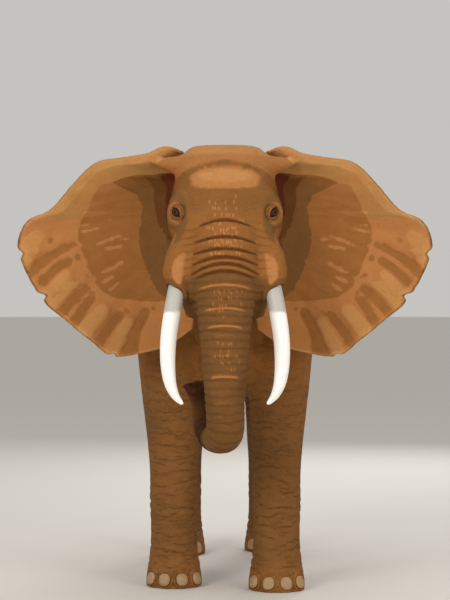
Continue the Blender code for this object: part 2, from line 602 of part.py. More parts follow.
def build():
    for old in list(bpy.data.objects):
        bpy.data.objects.remove(old)
    torso = flesh_body()
    pieces = {}

    def take(name, profile, low, high, view="side"):
        pieces[name] = part_off(torso, name, profile, low, high, view)

    # a later cut reaches LAP into the room of an earlier one, so that no two cuts share a plane
    take("trunk_root", [(-0.222, 2.05), (0.222, 2.05), (0.234, 2.58), (-0.234, 2.58)], -2.70, -2.02, "front")
    take("trunk_upper", side_box(-2.70, -1.972, 1.73, 2.05 + LAP), -0.35, 0.35)
    take("trunk_middle", side_box(-2.70, -2.015, 1.41, 1.73 + LAP), -0.35, 0.35)
    take("trunk_tip", side_box(-2.01, -1.60, 1.41, 1.80), -0.45, 0.10)
    take("trunk_bend", side_box(-2.70, -1.60, 1.00, 1.41 + LAP), -0.45, 0.35)
    take("jaw", [(-1.975, 2.07), (-1.44, 2.31), (-1.47, 1.70), (-1.975, 1.70)], -0.45, 0.45)
    take("head", [(-3.0, 1.60), (-1.50, 1.60), (-1.38, 3.60), (-3.0, 3.60)], -0.80, 0.80)
    take("neck", [(-1.62, 1.62), (-1.24, 1.62), (-1.06, 3.60), (-1.50, 3.60)], -0.80, 0.80)
    take("tail", side_box(1.705, 2.20, TAIL_END, 2.75), -0.12, 0.12)
    take("tail_stub", side_box(1.705, 2.20, 1.00, TAIL_END + LAP), -0.12, 0.12)
    bpy.data.objects.remove(pieces.pop("tail_stub"))
    elbow = [(-1.34, 1.45), (-0.42, 1.45), (-0.48, 1.85), (-0.62, 2.15), (-1.20, 2.15)]
    for name, side in sides("foreleg_upper"):
        take(name, elbow, *across(side, 0.24, 1.2))
    for name, side in sides("foreleg_lower"):
        take(name, side_box(-1.60, -0.30, 0.52, 1.45 + LAP), *across(side, 0.08, 1.2))
    for name, side in sides("foreleg_foot"):
        take(name, side_box(-1.70, -0.30, -0.10, 0.52 + LAP), *across(side, 0.02, 1.2))
    thigh = [(0.62, 1.36), (1.90, 1.36), (1.90, 2.25), (1.22, 2.42), (0.82, 2.05)]
    for name, side in sides("hindleg_upper"):
        take(name, thigh, *across(side, 0.20, 1.2))
    for name, side in sides("hindleg_lower"):
        take(name, side_box(0.40, 1.90, 0.48, 1.36 + LAP), *across(side, 0.08, 1.2))
    for name, side in sides("hindleg_foot"):
        take(name, side_box(0.30, 2.00, -0.10, 0.48 + LAP), *across(side, 0.02, 1.2))
    pieces["torso"] = torso
    for piece in pieces.values():
        finished(piece, HIDE)

    for name, side in sides("tusk"):
        shape = tube(TUSK, 15, sides=10)
        set_in([pieces["head"]], name, standing(shape if side > 0 else mirrored(shape)), IVORY)
    for name, side in sides("eye"):
        ball = bmesh.new()
        bmesh.ops.create_uvsphere(ball, u_segments=12, v_segments=6, radius=EYE_RADIUS,
                                  matrix=Matrix.Translation((EYE[0] * side, EYE[1], EYE[2])))
        set_in([pieces["head"]], name, standing(ball), EYE_GLOSS)
    for name, side in sides("ear"):
        flap = ear()
        flap = joined(name, [standing(flap if side > 0 else mirrored(flap))])
        for host in ("head", "neck", "jaw"):
            copy = bpy.data.objects.new("cutter", pieces[host].data.copy())
            bpy.context.scene.collection.objects.link(copy)
            fat = copy.modifiers.new("fat", "DISPLACE")
            fat.strength = EAR_GAP
            fat.mid_level = 0
            baked(copy)
            boolean(flap, copy, "DIFFERENCE")
            bpy.data.objects.remove(copy)
        finished(flap, HIDE)
    tuft = joined("tail_tuft", [standing(tube(TUFT, 8, sides=8))])
    finished(tuft, HAIR)
    for host, foot, label in (("foreleg_foot", FORE_NAILS, "fore_nail"), ("hindleg_foot", HIND_NAILS, "hind_nail")):
        for name, side in sides(host):
            for number, bearing in enumerate(foot[4], start=1):
                shape = nail(foot, bearing)
                shape = standing(shape if side > 0 else mirrored(shape))
                hand = "left" if side > 0 else "right"
                set_in([pieces[name]], f"{label}_{hand}_{number}", shape, NAIL)
    print({name: len(piece.data.polygons) for name, piece in pieces.items()})


build()
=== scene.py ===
# %% [markdown]
# # A bull elephant, life size
# The solids of the animal are already made: head, neck, trunk in five lengths, torso, legs, ears, tusks,
# eyes and nails. This lesson dresses them. The frame is loaded first and never moved.

# %% Load the frame
import math

import bmesh
import bpy
import numpy as np
from mathutils import Matrix, Vector, kdtree, noise


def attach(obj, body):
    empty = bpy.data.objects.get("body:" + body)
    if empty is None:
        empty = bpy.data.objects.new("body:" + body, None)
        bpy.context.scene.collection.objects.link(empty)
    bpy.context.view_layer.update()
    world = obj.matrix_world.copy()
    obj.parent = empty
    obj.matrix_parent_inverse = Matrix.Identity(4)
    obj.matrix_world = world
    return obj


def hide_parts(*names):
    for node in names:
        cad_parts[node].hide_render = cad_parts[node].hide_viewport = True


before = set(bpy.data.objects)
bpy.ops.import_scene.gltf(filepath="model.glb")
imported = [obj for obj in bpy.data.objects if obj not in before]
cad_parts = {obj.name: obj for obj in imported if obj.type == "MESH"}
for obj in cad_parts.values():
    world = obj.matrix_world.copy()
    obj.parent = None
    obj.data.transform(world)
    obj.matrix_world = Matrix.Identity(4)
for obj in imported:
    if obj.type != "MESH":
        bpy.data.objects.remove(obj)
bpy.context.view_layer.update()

# %% [markdown]
# ## Helpers for every material
# Colours are written as sRGB hex values, as a designer picks them, and one function turns them to the
# linear numbers that a shader wants. A second function sets a node's inputs and draws its links, and a
# third adds a node, so that each material below reads as a short list of what feeds what.

# %% Colours and nodes
def linear(code):
    """An sRGB hex colour as linear numbers."""
    parts = [int(code[i:i + 2], 16) / 255 for i in (1, 3, 5)]
    return (*[c / 12.92 if c <= 0.04045 else ((c + 0.055) / 1.055) ** 2.4 for c in parts], 1.0)


def feed(node, inputs):
    """Sets a node's inputs, by name or number. Each is a number, a hex colour, an output, or a whole node,
    which stands for its first output in use."""
    for name, value in inputs.items():
        by_name = (socket for socket in node.inputs if socket.enabled and socket.name == name)
        socket = node.inputs[name] if isinstance(name, int) else next(by_name)
        if isinstance(value, bpy.types.Node):
            value = next(output for output in value.outputs if output.enabled)
        if isinstance(value, bpy.types.NodeSocket):
            node.id_data.links.new(value, socket)
        else:
            socket.default_value = linear(value) if isinstance(value, str) else value


def add(tree, kind, inputs=None, **settings):
    """A new shader node with its settings and its inputs."""
    made = tree.nodes.new("ShaderNode" + kind)
    for name, value in settings.items():
        setattr(made, name, value)
    feed(made, inputs or {})
    return made


def set_stops(ramp, stops):
    """Gives a colour ramp its stops, as rows of position and hex colour."""
    made = ramp.color_ramp.elements
    while len(made) < len(stops):
        made.new(0.5)
    for stop, (position, code) in zip(made, stops):
        stop.position, stop.color = position, linear(code)


def new_material(name):
    """A new Principled material, its node tree and its shader."""
    material = bpy.data.materials.new(name)
    material.use_nodes = True
    return material, material.node_tree, material.node_tree.nodes["Principled BSDF"]


def triangles(mesh):
    """How many triangles a mesh has."""
    return sum(len(face.vertices) - 2 for face in mesh.polygons)


def put_in_order(bm):
    """Sorts faces by their vertices, because operators leave them in an order that differs between runs."""
    bm.verts.index_update()
    count = len(bm.verts)
    bm.faces.sort(key=lambda f: min(v.index for v in f.verts) * count + max(v.index for v in f.verts))


def show(name, shape, material, slot, *nodes):
    """A finished piece from a bmesh or a mesh. It rides on the body and replaces its solids. The slot is not
    used.
    """
    mesh = shape
    if isinstance(shape, bmesh.types.BMesh):
        put_in_order(shape)
        mesh = bpy.data.meshes.new(name)
        shape.to_mesh(mesh)
        shape.free()
    mesh.materials.clear()
    mesh.materials.append(material)
    mesh.shade_smooth()
    obj = bpy.data.objects.new(name, mesh)
    bpy.context.scene.collection.objects.link(obj)
    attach(obj, "root")
    if nodes:
        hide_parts(*nodes)
    print(name, triangles(mesh), "triangles")
    return obj


# %% [markdown]
# ## The clay
# Muscle, fat and bone run into each other without a seam, so the flesh is built as a sculptor would build
# it. Each mass is a loft: a circle, extruded edge by edge along rows of sizes. Trunk, legs, tusk sheaths,
# lips and tail follow a path, the torso and neck are barrels along the spine, and the head is a pile of
# level slices. The rows are the same as the solids', so the skin has their shape. Metres, and the face
# looks along -Y.

# %% Rows, rings and lofts
SIDES = 40


def smooth_rows(rows, count):
    """Rows of numbers, read off evenly along a Catmull-Rom curve through the given rows."""
    rows = np.array(rows, float)
    padded = np.vstack([2 * rows[0] - rows[1], rows, 2 * rows[-1] - rows[-2]])
    made = []
    for t in np.linspace(0, len(rows) - 1, count):
        i = min(int(t), len(rows) - 2)
        f = t - i
        a, b, c, d = padded[i:i + 4]
        made.append(0.5 * (2 * b + (c - a) * f + (2 * a - 5 * b + 4 * c - d) * f * f
                           + (3 * b - a - 3 * c + d) * f ** 3))
    return np.array(made)


def oval(angle, power):
    """A point of a unit superellipse: power 2 is round, more is squarer."""
    c, s = math.cos(angle), math.sin(angle)
    return (math.copysign(abs(c) ** (2 / power), c), math.copysign(abs(s) ** (2 / power), s))


def loft(rings):
    """A bmesh through rings of equally many points: a circle, extruded ring by ring, its ends filled."""
    bm = bmesh.new()
    bmesh.ops.create_circle(bm, segments=len(rings[0]), radius=1)
    loop = list(bm.verts)
    first = edges = list(bm.edges)
    for vert, place in zip(loop, rings[0]):
        vert.co = place
    for ring in rings[1:]:
        made = bmesh.ops.extrude_edge_only(bm, edges=edges)["geom"]
        fresh = {g for g in made if isinstance(g, bmesh.types.BMVert)}
        edges = [g for g in made if isinstance(g, bmesh.types.BMEdge)
                 and g.verts[0] in fresh and g.verts[1] in fresh]
        loop = [next(e.other_vert(v) for e in v.link_edges if e.other_vert(v) in fresh) for v in loop]
        for vert, place in zip(loop, ring):
            vert.co = place
    bmesh.ops.edgeloop_fill(bm, edges=first)
    bmesh.ops.edgeloop_fill(bm, edges=edges)
    bmesh.ops.recalc_face_normals(bm, faces=bm.faces)
    put_in_order(bm)
    return bm


def tube_rings(rows, count, sides=SIDES):
    """Rings round a path. Each row is x, y, z, half width across, half depth."""
    rows = smooth_rows(rows, count)
    ways = np.gradient(rows[:, :3], axis=0)
    rings = []
    for place, way, (wide, deep) in zip(rows[:, :3], ways, rows[:, 3:5]):
        way = Vector(way).normalized()
        across = (Vector((1, 0, 0)) - way * way.x).normalized()
        out = across.cross(way)
        unit = [oval(2 * math.pi * k / sides, 2) for k in range(sides)]
        rings.append([Vector(place) + across * (wide * c) + out * (deep * s) for c, s in unit])
    return rings


def mirrored(bm):
    """A copy of a mass on the animal's other side."""
    other = bm.copy()
    bmesh.ops.scale(other, vec=(-1, 1, 1), verts=other.verts)
    bmesh.ops.reverse_faces(other, faces=other.faces)
    return other


def merged(pieces):
    """Several bmeshes as one."""
    whole, held = bmesh.new(), bpy.data.meshes.new("held")
    for bm in pieces:
        bm.to_mesh(held)
        bm.free()
        whole.from_mesh(held)
    bpy.data.meshes.remove(held)
    return whole


print("lofts have", SIDES, "sides")

# %% [markdown]
# ### The sizes of the masses
# An African bull has a high square forehead, a back that dips between shoulder and hip, and pillar legs.
# The trunk hangs straight and curls up behind itself at the tip.

# %% Torso, neck, head and jaw
# torso: y, half width, top, bottom, height of the widest point
TORSO = [
    (-1.30, 0.10, 2.45, 2.10, 2.25),
    (-1.25, 0.26, 2.68, 1.84, 2.22),
    (-1.12, 0.42, 2.96, 1.62, 2.18),
    (-0.92, 0.56, 3.14, 1.50, 2.14),
    (-0.62, 0.66, 3.20, 1.48, 2.08),
    (-0.28, 0.73, 3.13, 1.47, 2.04),
    (0.10, 0.78, 3.04, 1.42, 2.00),
    (0.50, 0.79, 3.02, 1.385, 2.00),
    (0.85, 0.75, 3.08, 1.41, 2.04),
    (1.10, 0.67, 3.10, 1.46, 2.15),
    (1.33, 0.56, 3.00, 1.64, 2.25),
    (1.52, 0.42, 2.84, 1.84, 2.32),
    (1.64, 0.26, 2.70, 2.08, 2.38),
    (1.69, 0.10, 2.55, 2.28, 2.42),
]
# neck: the same measures, from between the shoulders to inside the skull
NECK = [
    (-0.72, 0.48, 3.15, 1.76, 2.36),
    (-1.02, 0.48, 3.17, 1.76, 2.38),
    (-1.30, 0.44, 3.21, 1.88, 2.46),
    (-1.56, 0.39, 3.25, 2.05, 2.60),
    (-1.78, 0.32, 3.15, 2.25, 2.70),
]
# head, in level slices: z, front, back, half width, y of the widest point
HEAD = [
    (3.392, -1.68, -1.52, 0.17, -1.60),
    (3.372, -1.77, -1.43, 0.265, -1.60),
    (3.31, -1.86, -1.34, 0.325, -1.60),
    (3.20, -1.95, -1.26, 0.37, -1.62),
    (3.06, -2.04, -1.20, 0.41, -1.64),
    (2.90, -2.11, -1.18, 0.44, -1.68),
    (2.76, -2.16, -1.20, 0.405, -1.68),
    (2.62, -2.19, -1.24, 0.37, -1.68),
    (2.48, -2.20, -1.30, 0.375, -1.70),
    (2.34, -2.16, -1.38, 0.355, -1.72),
    (2.21, -2.08, -1.46, 0.29, -1.72),
    (2.12, -1.98, -1.56, 0.20, -1.74),
]
# lower jaw: y, half width, top, bottom, height of the widest point
JAW = [
    (-1.42, 0.20, 2.42, 2.07, 2.22),
    (-1.60, 0.24, 2.38, 1.99, 2.18),
    (-1.73, 0.195, 2.29, 1.945, 2.12),
    (-1.82, 0.135, 2.19, 1.935, 2.06),
    (-1.89, 0.085, 2.10, 1.955, 2.03),
    (-1.93, 0.048, 2.06, 1.982, 2.025),
    (-1.955, 0.018, 2.04, 2.008, 2.025),
]
print("torso", round(TORSO[-1][0] - TORSO[0][0], 2), "m long, crown at", HEAD[0][0], "m")

# %% Trunk, legs, tusk and its sheath, lip, ear root and tail
# each row: x, y, z of the line, half width, half depth
TRUNK = [
    (0.0, -1.86, 2.98, 0.20, 0.16),
    (0.0, -2.045, 2.70, 0.245, 0.21),
    (0.0, -2.16, 2.44, 0.245, 0.228),
    (0.0, -2.20, 2.18, 0.212, 0.21),
    (0.0, -2.21, 1.92, 0.180, 0.188),
    (0.0, -2.21, 1.68, 0.160, 0.168),
    (0.0, -2.20, 1.48, 0.146, 0.152),
    (0.004, -2.15, 1.31, 0.142, 0.138),
    (-0.024, -2.05, 1.236, 0.136, 0.122),
    (-0.090, -1.93, 1.245, 0.122, 0.112),
    (-0.142, -1.86, 1.34, 0.108, 0.100),
    (-0.166, -1.84, 1.45, 0.096, 0.090),
    (-0.194, -1.87, 1.55, 0.088, 0.082),
    (-0.218, -1.91, 1.620, 0.088, 0.080),
]
FINGER = [
    (-0.200, -1.895, 1.560, 0.060, 0.060),
    (-0.250, -1.910, 1.588, 0.048, 0.050),
    (-0.290, -1.925, 1.600, 0.034, 0.036),
    (-0.322, -1.935, 1.596, 0.020, 0.022),
]
FORELEG = [
    (0.36, -0.80, 2.62, 0.16, 0.26),
    (0.40, -0.84, 2.30, 0.24, 0.35),
    (0.415, -0.88, 1.95, 0.255, 0.36),
    (0.42, -0.92, 1.65, 0.245, 0.31),
    (0.415, -0.94, 1.40, 0.225, 0.265),
    (0.405, -0.95, 1.12, 0.202, 0.225),
    (0.40, -0.955, 0.88, 0.190, 0.205),
    (0.40, -0.965, 0.66, 0.190, 0.212),
    (0.40, -0.955, 0.44, 0.182, 0.196),
    (0.40, -0.955, 0.26, 0.190, 0.206),
    (0.40, -0.962, 0.11, 0.213, 0.234),
    (0.40, -0.966, 0.035, 0.224, 0.248),
    (0.40, -0.966, 0.0, 0.219, 0.243),
    (0.40, -0.966, -0.08, 0.205, 0.225),
]
HINDLEG = [
    (0.33, 1.08, 2.62, 0.18, 0.34),
    (0.37, 1.10, 2.25, 0.245, 0.45),
    (0.385, 1.09, 1.90, 0.25, 0.43),
    (0.385, 1.05, 1.58, 0.228, 0.365),
    (0.38, 1.02, 1.30, 0.202, 0.295),
    (0.37, 1.05, 1.04, 0.178, 0.240),
    (0.365, 1.12, 0.80, 0.158, 0.205),
    (0.36, 1.175, 0.58, 0.152, 0.190),
    (0.36, 1.17, 0.38, 0.150, 0.175),
    (0.36, 1.155, 0.23, 0.160, 0.184),
    (0.36, 1.138, 0.10, 0.181, 0.212),
    (0.36, 1.130, 0.03, 0.190, 0.226),
    (0.36, 1.130, 0.0, 0.185, 0.221),
    (0.36, 1.130, -0.08, 0.172, 0.206),
]
TUSK = [
    (0.300, -2.00, 2.52, 0.060, 0.060),
    (0.330, -2.10, 2.40, 0.062, 0.062),
    (0.353, -2.165, 2.285, 0.062, 0.062),
    (0.379, -2.225, 2.14, 0.0610, 0.0610),
    (0.402, -2.315, 1.96, 0.058, 0.058),
    (0.404, -2.43, 1.80, 0.053, 0.053),
    (0.386, -2.58, 1.67, 0.044, 0.044),
    (0.350, -2.73, 1.585, 0.031, 0.031),
    (0.306, -2.86, 1.538, 0.017, 0.017),
    (0.292, -2.895, 1.530, 0.009, 0.009),
]
TUSK_SHEATH = [
    (0.215, -1.90, 2.86, 0.09, 0.09),
    (0.258, -2.00, 2.70, 0.120, 0.115),
    (0.298, -2.06, 2.54, 0.140, 0.130),
    (0.318, -2.09, 2.43, 0.136, 0.128),
    (0.336, -2.12, 2.35, 0.115, 0.113),
    (0.349, -2.155, 2.28, 0.088, 0.088),
]
LIP = [
    (0.20, -1.90, 2.45, 0.12, 0.16),
    (0.22, -1.97, 2.31, 0.11, 0.14),
    (0.218, -1.98, 2.175, 0.088, 0.11),
    (0.205, -1.97, 2.095, 0.048, 0.06),
]
EAR_ROOT = [
    (0.26, -1.77, 3.235, 0.050, 0.060),
    (0.35, -1.70, 3.240, 0.064, 0.066),
    (0.43, -1.635, 3.252, 0.055, 0.058),
    (0.50, -1.602, 3.268, 0.044, 0.048),
    (0.56, -1.594, 3.282, 0.026, 0.028),
]
TAIL = [
    (0.0, 1.55, 2.72, 0.105, 0.12),
    (0.0, 1.68, 2.56, 0.088, 0.092),
    (0.0, 1.78, 2.34, 0.066, 0.062),
    (0.01, 1.82, 2.07, 0.050, 0.046),
    (0.02, 1.83, 1.82, 0.042, 0.039),
    (0.03, 1.825, 1.58, 0.036, 0.034),
    (0.035, 1.82, 1.30, 0.032, 0.031),
]
print("trunk", len(TRUNK), "rows, legs", len(FORELEG), "and", len(HINDLEG), "rows, tail", len(TAIL), "rows")

# %% Masses along the body
def barrel(rows, count):
    """A mass along Y with its own top, bottom and widest height at each station."""
    rings = []
    for y, wide, top, bottom, middle in smooth_rows(rows, count):
        ring = []
        for k in range(SIDES):
            c, s = oval(2 * math.pi * k / SIDES, 2.05)
            ring.append(Vector((wide * c, y, middle + s * ((top - middle) if s > 0 else (middle - bottom)))))
        rings.append(ring)
    return loft(rings)


def slices(rows, count):
    """A mass of level slices, squarer at the front than at the back."""
    rings = []
    for z, front, back, wide, middle in smooth_rows(rows, count):
        ring = []
        for k in range(SIDES):
            angle = 2 * math.pi * k / SIDES
            ahead = math.sin(angle) > 0
            c, s = oval(angle, 2.7 if ahead else 2.2)
            ring.append(Vector((wide * c, middle + s * ((front - middle) if ahead else (middle - back)), z)))
        rings.append(ring)
    return loft(rings)


def joined(name, pieces):
    """Several bmeshes as one mesh object of triangles, for the modifiers to work on."""
    whole = merged(pieces)
    bmesh.ops.triangulate(whole, faces=whole.faces)
    mesh = bpy.data.meshes.new(name)
    whole.to_mesh(mesh)
    whole.free()
    obj = bpy.data.objects.new(name, mesh)
    bpy.context.scene.collection.objects.link(obj)
    return obj


def baked(obj):
    """The object with its modifiers made part of its mesh."""
    bpy.context.view_layer.update()
    graph = bpy.context.evaluated_depsgraph_get()
    mesh = bpy.data.meshes.new_from_object(obj.evaluated_get(graph))
    obj.modifiers.clear()
    obj.data = mesh
    return obj


masses = [barrel(TORSO, 40), barrel(NECK, 12), slices(HEAD, 26), barrel(JAW, 14),
          loft(tube_rings(TRUNK, 64)), loft(tube_rings(FINGER, 8)), loft(tube_rings(TAIL, 30, 16))]
for rows, count in ((FORELEG, 40), (HINDLEG, 40), (TUSK_SHEATH, 12), (LIP, 8), (EAR_ROOT, 10)):
    one = loft(tube_rings(rows, count))
    masses += [one, mirrored(one)]
print(len(masses), "masses")

# %% Run the masses together
CLAY_VOXEL = 0.025      # size of the remesh's cells, in metres

flesh = joined("clay", masses)
clay = flesh.modifiers.new("clay", "REMESH")
clay.mode = "VOXEL"
clay.voxel_size = CLAY_VOXEL
settle = flesh.modifiers.new("settle", "SMOOTH")
settle.factor = 0.5
settle.iterations = 12
baked(flesh)
print("clay", len(flesh.data.polygons), "faces")

# %% [markdown]
# ## Bone and muscle
# The run-together clay is smooth everywhere. Named pushes press hollows in and raise bone: temples, cheek
# bones, shoulder blades, hips. Each is a soft bump with a centre, a reach and a direction, on both sides.

# %% Points, normals and soft shapes
def points_of(mesh):
    """A mesh's vertices as rows of x, y, z."""
    flat = np.empty(len(mesh.vertices) * 3)
    mesh.vertices.foreach_get("co", flat)
    return flat.reshape(-1, 3)


def normals_of(mesh):
    """A mesh's vertex normals."""
    flat = np.empty(len(mesh.vertices) * 3, dtype=np.float32)
    mesh.vertex_normals.foreach_get("vector", flat)
    return flat.reshape(-1, 3).astype(float)


def set_points(mesh, points):
    """Moves a mesh's vertices to rows of x, y, z."""
    mesh.vertices.foreach_set("co", points.ravel())
    mesh.update()


def soft(points, centre, reach):
    """1 at a centre, fading to 0 at about twice the reach."""
    return np.exp(-(((points - np.array(centre)) / np.array(reach)) ** 2).sum(axis=1))


def hump(value, middle, width):
    """1 where the value is at the middle, fading to 0 at about twice the width on both sides."""
    return np.exp(-((value - middle) / width) ** 2)


def ease(low, high, value):
    """0 below low, 1 above high, and a smooth step between."""
    t = np.clip((value - low) / (high - low), 0, 1)
    return t * t * (3 - 2 * t)


clay_points = points_of(flesh.data)
print("clay from", np.round(clay_points.min(axis=0), 2), "to", np.round(clay_points.max(axis=0), 2))

# %% Press and raise
# name, centre, reach, push
RELIEF = [
    ("forehead_dome", (0.0, -2.03, 3.08), (0.24, 0.25, 0.17), (0.0, -0.03, 0.01)),
    ("nasal_hollow", (0.0, -2.15, 2.82), (0.22, 0.15, 0.08), (0.0, 0.02, 0.0)),
    ("temple_hollow", (0.41, -1.76, 3.08), (0.12, 0.17, 0.14), (-0.045, 0.02, 0.0)),
    ("brow", (0.39, -1.97, 2.98), (0.08, 0.10, 0.06), (0.018, -0.02, 0.01)),
    ("orbit", (0.40, -1.94, 2.87), (0.09, 0.11, 0.11), (0.020, -0.035, 0.0)),
    ("eyelids", (0.375, -2.02, 2.872), (0.055, 0.06, 0.05), (0.012, -0.018, 0.0)),
    ("cheek_bone", (0.42, -1.72, 2.74), (0.10, 0.24, 0.09), (0.02, 0.0, 0.0)),
    ("under_eye_hollow", (0.38, -1.98, 2.69), (0.09, 0.14, 0.09), (-0.018, 0.012, 0.0)),
    ("chewing_muscle", (0.34, -1.60, 2.36), (0.14, 0.20, 0.18), (0.035, 0.0, 0.0)),
    ("shoulder_blade", (0.60, -0.80, 2.45), (0.20, 0.13, 0.42), (0.03, 0.0, 0.0)),
    ("behind_shoulder", (0.72, -0.45, 2.15), (0.20, 0.15, 0.45), (-0.035, 0.0, 0.0)),
    ("hip_bone", (0.48, 0.95, 2.88), (0.20, 0.20, 0.14), (0.03, 0.0, 0.03)),
    ("flank_hollow", (0.74, 0.62, 2.48), (0.20, 0.24, 0.28), (-0.04, 0.0, 0.0)),
    ("elbow", (0.44, -0.62, 1.56), (0.16, 0.12, 0.14), (0.0, 0.04, 0.0)),
    ("upper_arm", (0.66, -0.92, 1.95), (0.16, 0.18, 0.24), (0.02, 0.0, 0.0)),
    ("wrist", (0.40, -1.18, 0.68), (0.14, 0.07, 0.12), (0.0, -0.015, 0.0)),
    ("knee_cap", (0.38, 0.72, 1.36), (0.14, 0.09, 0.12), (0.0, -0.03, 0.0)),
    ("sheath_lip", (0.280, -2.21, 2.27), (0.060, 0.09, 0.070), (0.0, 0.0, -0.060)),
    ("sheath_corner", (0.430, -2.19, 2.29), (0.055, 0.09, 0.070), (-0.01, 0.01, 0.045)),
    ("flank_web", (0.44, 0.70, 1.46), (0.12, 0.15, 0.12), (0.0, -0.03, -0.06)),
    ("arm_web", (0.42, -0.52, 1.52), (0.12, 0.14, 0.12), (0.0, 0.03, -0.05)),
    ("hock", (0.36, 1.37, 0.60), (0.12, 0.10, 0.14), (0.0, 0.02, 0.0)),
    ("heel_pad", (0.40, -0.70, 0.12), (0.14, 0.07, 0.10), (0.0, 0.02, 0.0)),
]
SPINE_RIDGE = (0.022, 0.07)     # height and half width of the ridge along the spine


def shaped(points):
    """The points after every push, with the ridge of the spine."""
    points = points.copy()
    for name, centre, reach, push in RELIEF:
        for side in ((1,) if centre[0] == 0 else (1, -1)):
            fade = soft(points, np.array(centre) * (side, 1, 1), reach)
            points += fade[:, None] * np.array(push) * (side, 1, 1)
    high, half = SPINE_RIDGE
    along = np.clip((points[:, 1] + 1.0) / 0.3, 0, 1) * np.clip((1.6 - points[:, 1]) / 0.3, 0, 1)
    above = np.clip((points[:, 2] - 2.7) / 0.2, 0, 1)
    points[:, 2] += high * hump(points[:, 0], 0, half) * along * above
    return points


set_points(flesh.data, shaped(points_of(flesh.data)))
print("relief", len(RELIEF), "pushes")

# %% [markdown]
# ## Folds of the body
# Loose hide hangs in folds where the limbs bend: rings above the feet, at the wrists and hocks, a web from
# belly to knee, drapes between neck and shoulder. Each fold is a named stroke with a direction, and the
# hide is pressed in along it and swells beside it. A slow noise bends them, so that no two are alike.

# %% Fold strokes
# name, centre, reach, direction the folds cross, spacing in metres, depth in metres
FOLDS = [
    ("wrist", (0.40, -0.97, 0.66), (0.30, 0.30, 0.13), (0.0, 0.15, 1.0), 0.085, 0.010),
    ("fore_ankle", (0.40, -0.97, 0.24), (0.32, 0.32, 0.09), (0.0, 0.1, 1.0), 0.070, 0.009),
    ("elbow", (0.42, -0.72, 1.50), (0.26, 0.22, 0.16), (0.0, 0.8, 0.6), 0.095, 0.012),
    ("armpit", (0.52, -0.56, 1.72), (0.22, 0.16, 0.26), (0.1, 1.0, 0.35), 0.100, 0.014),
    ("hock", (0.36, 1.30, 0.58), (0.26, 0.26, 0.14), (0.0, 0.25, 1.0), 0.085, 0.009),
    ("hind_ankle", (0.36, 1.14, 0.22), (0.28, 0.30, 0.09), (0.0, 0.1, 1.0), 0.070, 0.009),
    ("knee", (0.38, 0.80, 1.36), (0.26, 0.22, 0.18), (0.0, -0.35, 1.0), 0.095, 0.011),
    ("flank_web", (0.52, 0.70, 1.66), (0.24, 0.22, 0.24), (0.0, 0.9, 0.5), 0.110, 0.014),
    ("rump", (0.30, 1.52, 2.10), (0.30, 0.18, 0.42), (0.9, 0.3, 0.25), 0.120, 0.010),
    ("neck_drape", (0.42, -1.28, 2.10), (0.20, 0.20, 0.40), (0.0, 1.0, 0.15), 0.095, 0.013),
    ("chest", (0.16, -1.20, 1.86), (0.24, 0.20, 0.26), (1.0, 0.0, 0.3), 0.110, 0.012),
    ("belly", (0.40, 0.20, 1.52), (0.36, 0.80, 0.14), (0.25, 1.0, 0.0), 0.150, 0.007),
    ("side", (0.74, 0.10, 2.20), (0.20, 0.70, 0.55), (0.0, 1.0, 0.22), 0.170, 0.006),
]
FOLD_WANDER = 0.80      # how far a fold strays from its line, in spacings
FOLD_DEPTH = 1.6        # all depths are multiplied by this


def slow_noise(points, size, seed):
    """Smooth noise about -1 to 1 that changes over a length of size metres."""
    shift = Vector((seed * 7.3, seed * 3.1, seed * 5.7))
    return np.array([noise.noise(Vector(p) / size + shift) for p in points])


def folded(points, normals):
    """The points pressed in along the folds."""
    mirrored_points = np.abs(points * (1, 0, 0)) + points * (0, 1, 1)
    wander = slow_noise(points, 0.30, 1)
    for name, centre, reach, way, spacing, depth in FOLDS:
        fade = soft(mirrored_points, centre, reach)
        near = fade > 0.03
        way = np.array(way) / np.linalg.norm(way)
        phase = (mirrored_points[near] - np.array(centre)) @ way / spacing + FOLD_WANDER * wander[near]
        groove = (0.5 + 0.5 * np.cos(2 * math.pi * phase)) ** 3
        points[near] -= normals[near] * (FOLD_DEPTH * depth * fade[near] * (groove - 0.3))[:, None]
    return points


set_points(flesh.data, folded(points_of(flesh.data), normals_of(flesh.data)))
print("folds", len(FOLDS), "strokes")

# %% [markdown]
# ## Where the mesh has to be fine
# The face and trunk carry wrinkles a finger wide, the flanks only broad folds. So the body gives up faces
# and the face gains them. A vertex group tells Decimate which part may be thinned, and then the face is cut
# finer in steps: the whole face and trunk, the brow where the deep wrinkles lie, and the lids round each
# eye.

# %% Thin the body
FACE_BACK = -1.36       # the face and trunk lie ahead of this
BODY_SHARE = 0.52       # of all triangles that stay when the body is thinned

thin = flesh.vertex_groups.new(name="thin")
for vert in flesh.data.vertices:
    thin.add([vert.index], float(ease(FACE_BACK, FACE_BACK + 0.25, vert.co.y)), "REPLACE")
fewer = flesh.modifiers.new("fewer", "DECIMATE")
fewer.ratio = BODY_SHARE
fewer.vertex_group = "thin"
baked(flesh)
print("thinned", len(flesh.data.polygons), "faces")

# %% Cut the face finer
EYE = Vector((0.336, -2.012, 2.868))
TRUNK_END = Vector((-0.224, -1.92, 1.64))
CUFF = Vector((0.360, -2.19, 2.30))     # where a tusk leaves its sheath


def smoothed(bm, verts, rounds):
    """Eases vertices towards their neighbours."""
    for _ in range(rounds):
        bmesh.ops.smooth_vert(bm, verts=verts, factor=0.5, use_axis_x=True, use_axis_y=True, use_axis_z=True)


def refined(bm, wanted):
    """Cuts every face in two both ways where all its corners are wanted, and eases the new corners."""
    faces = [f for f in bm.faces if all(wanted(v.co) for v in f.verts)]
    edges = list({e for f in faces for e in f.edges})
    bmesh.ops.subdivide_edges(bm, edges=edges, cuts=1, use_grid_fill=True)
    smoothed(bm, [v for v in bm.verts if wanted(v.co)], 2)


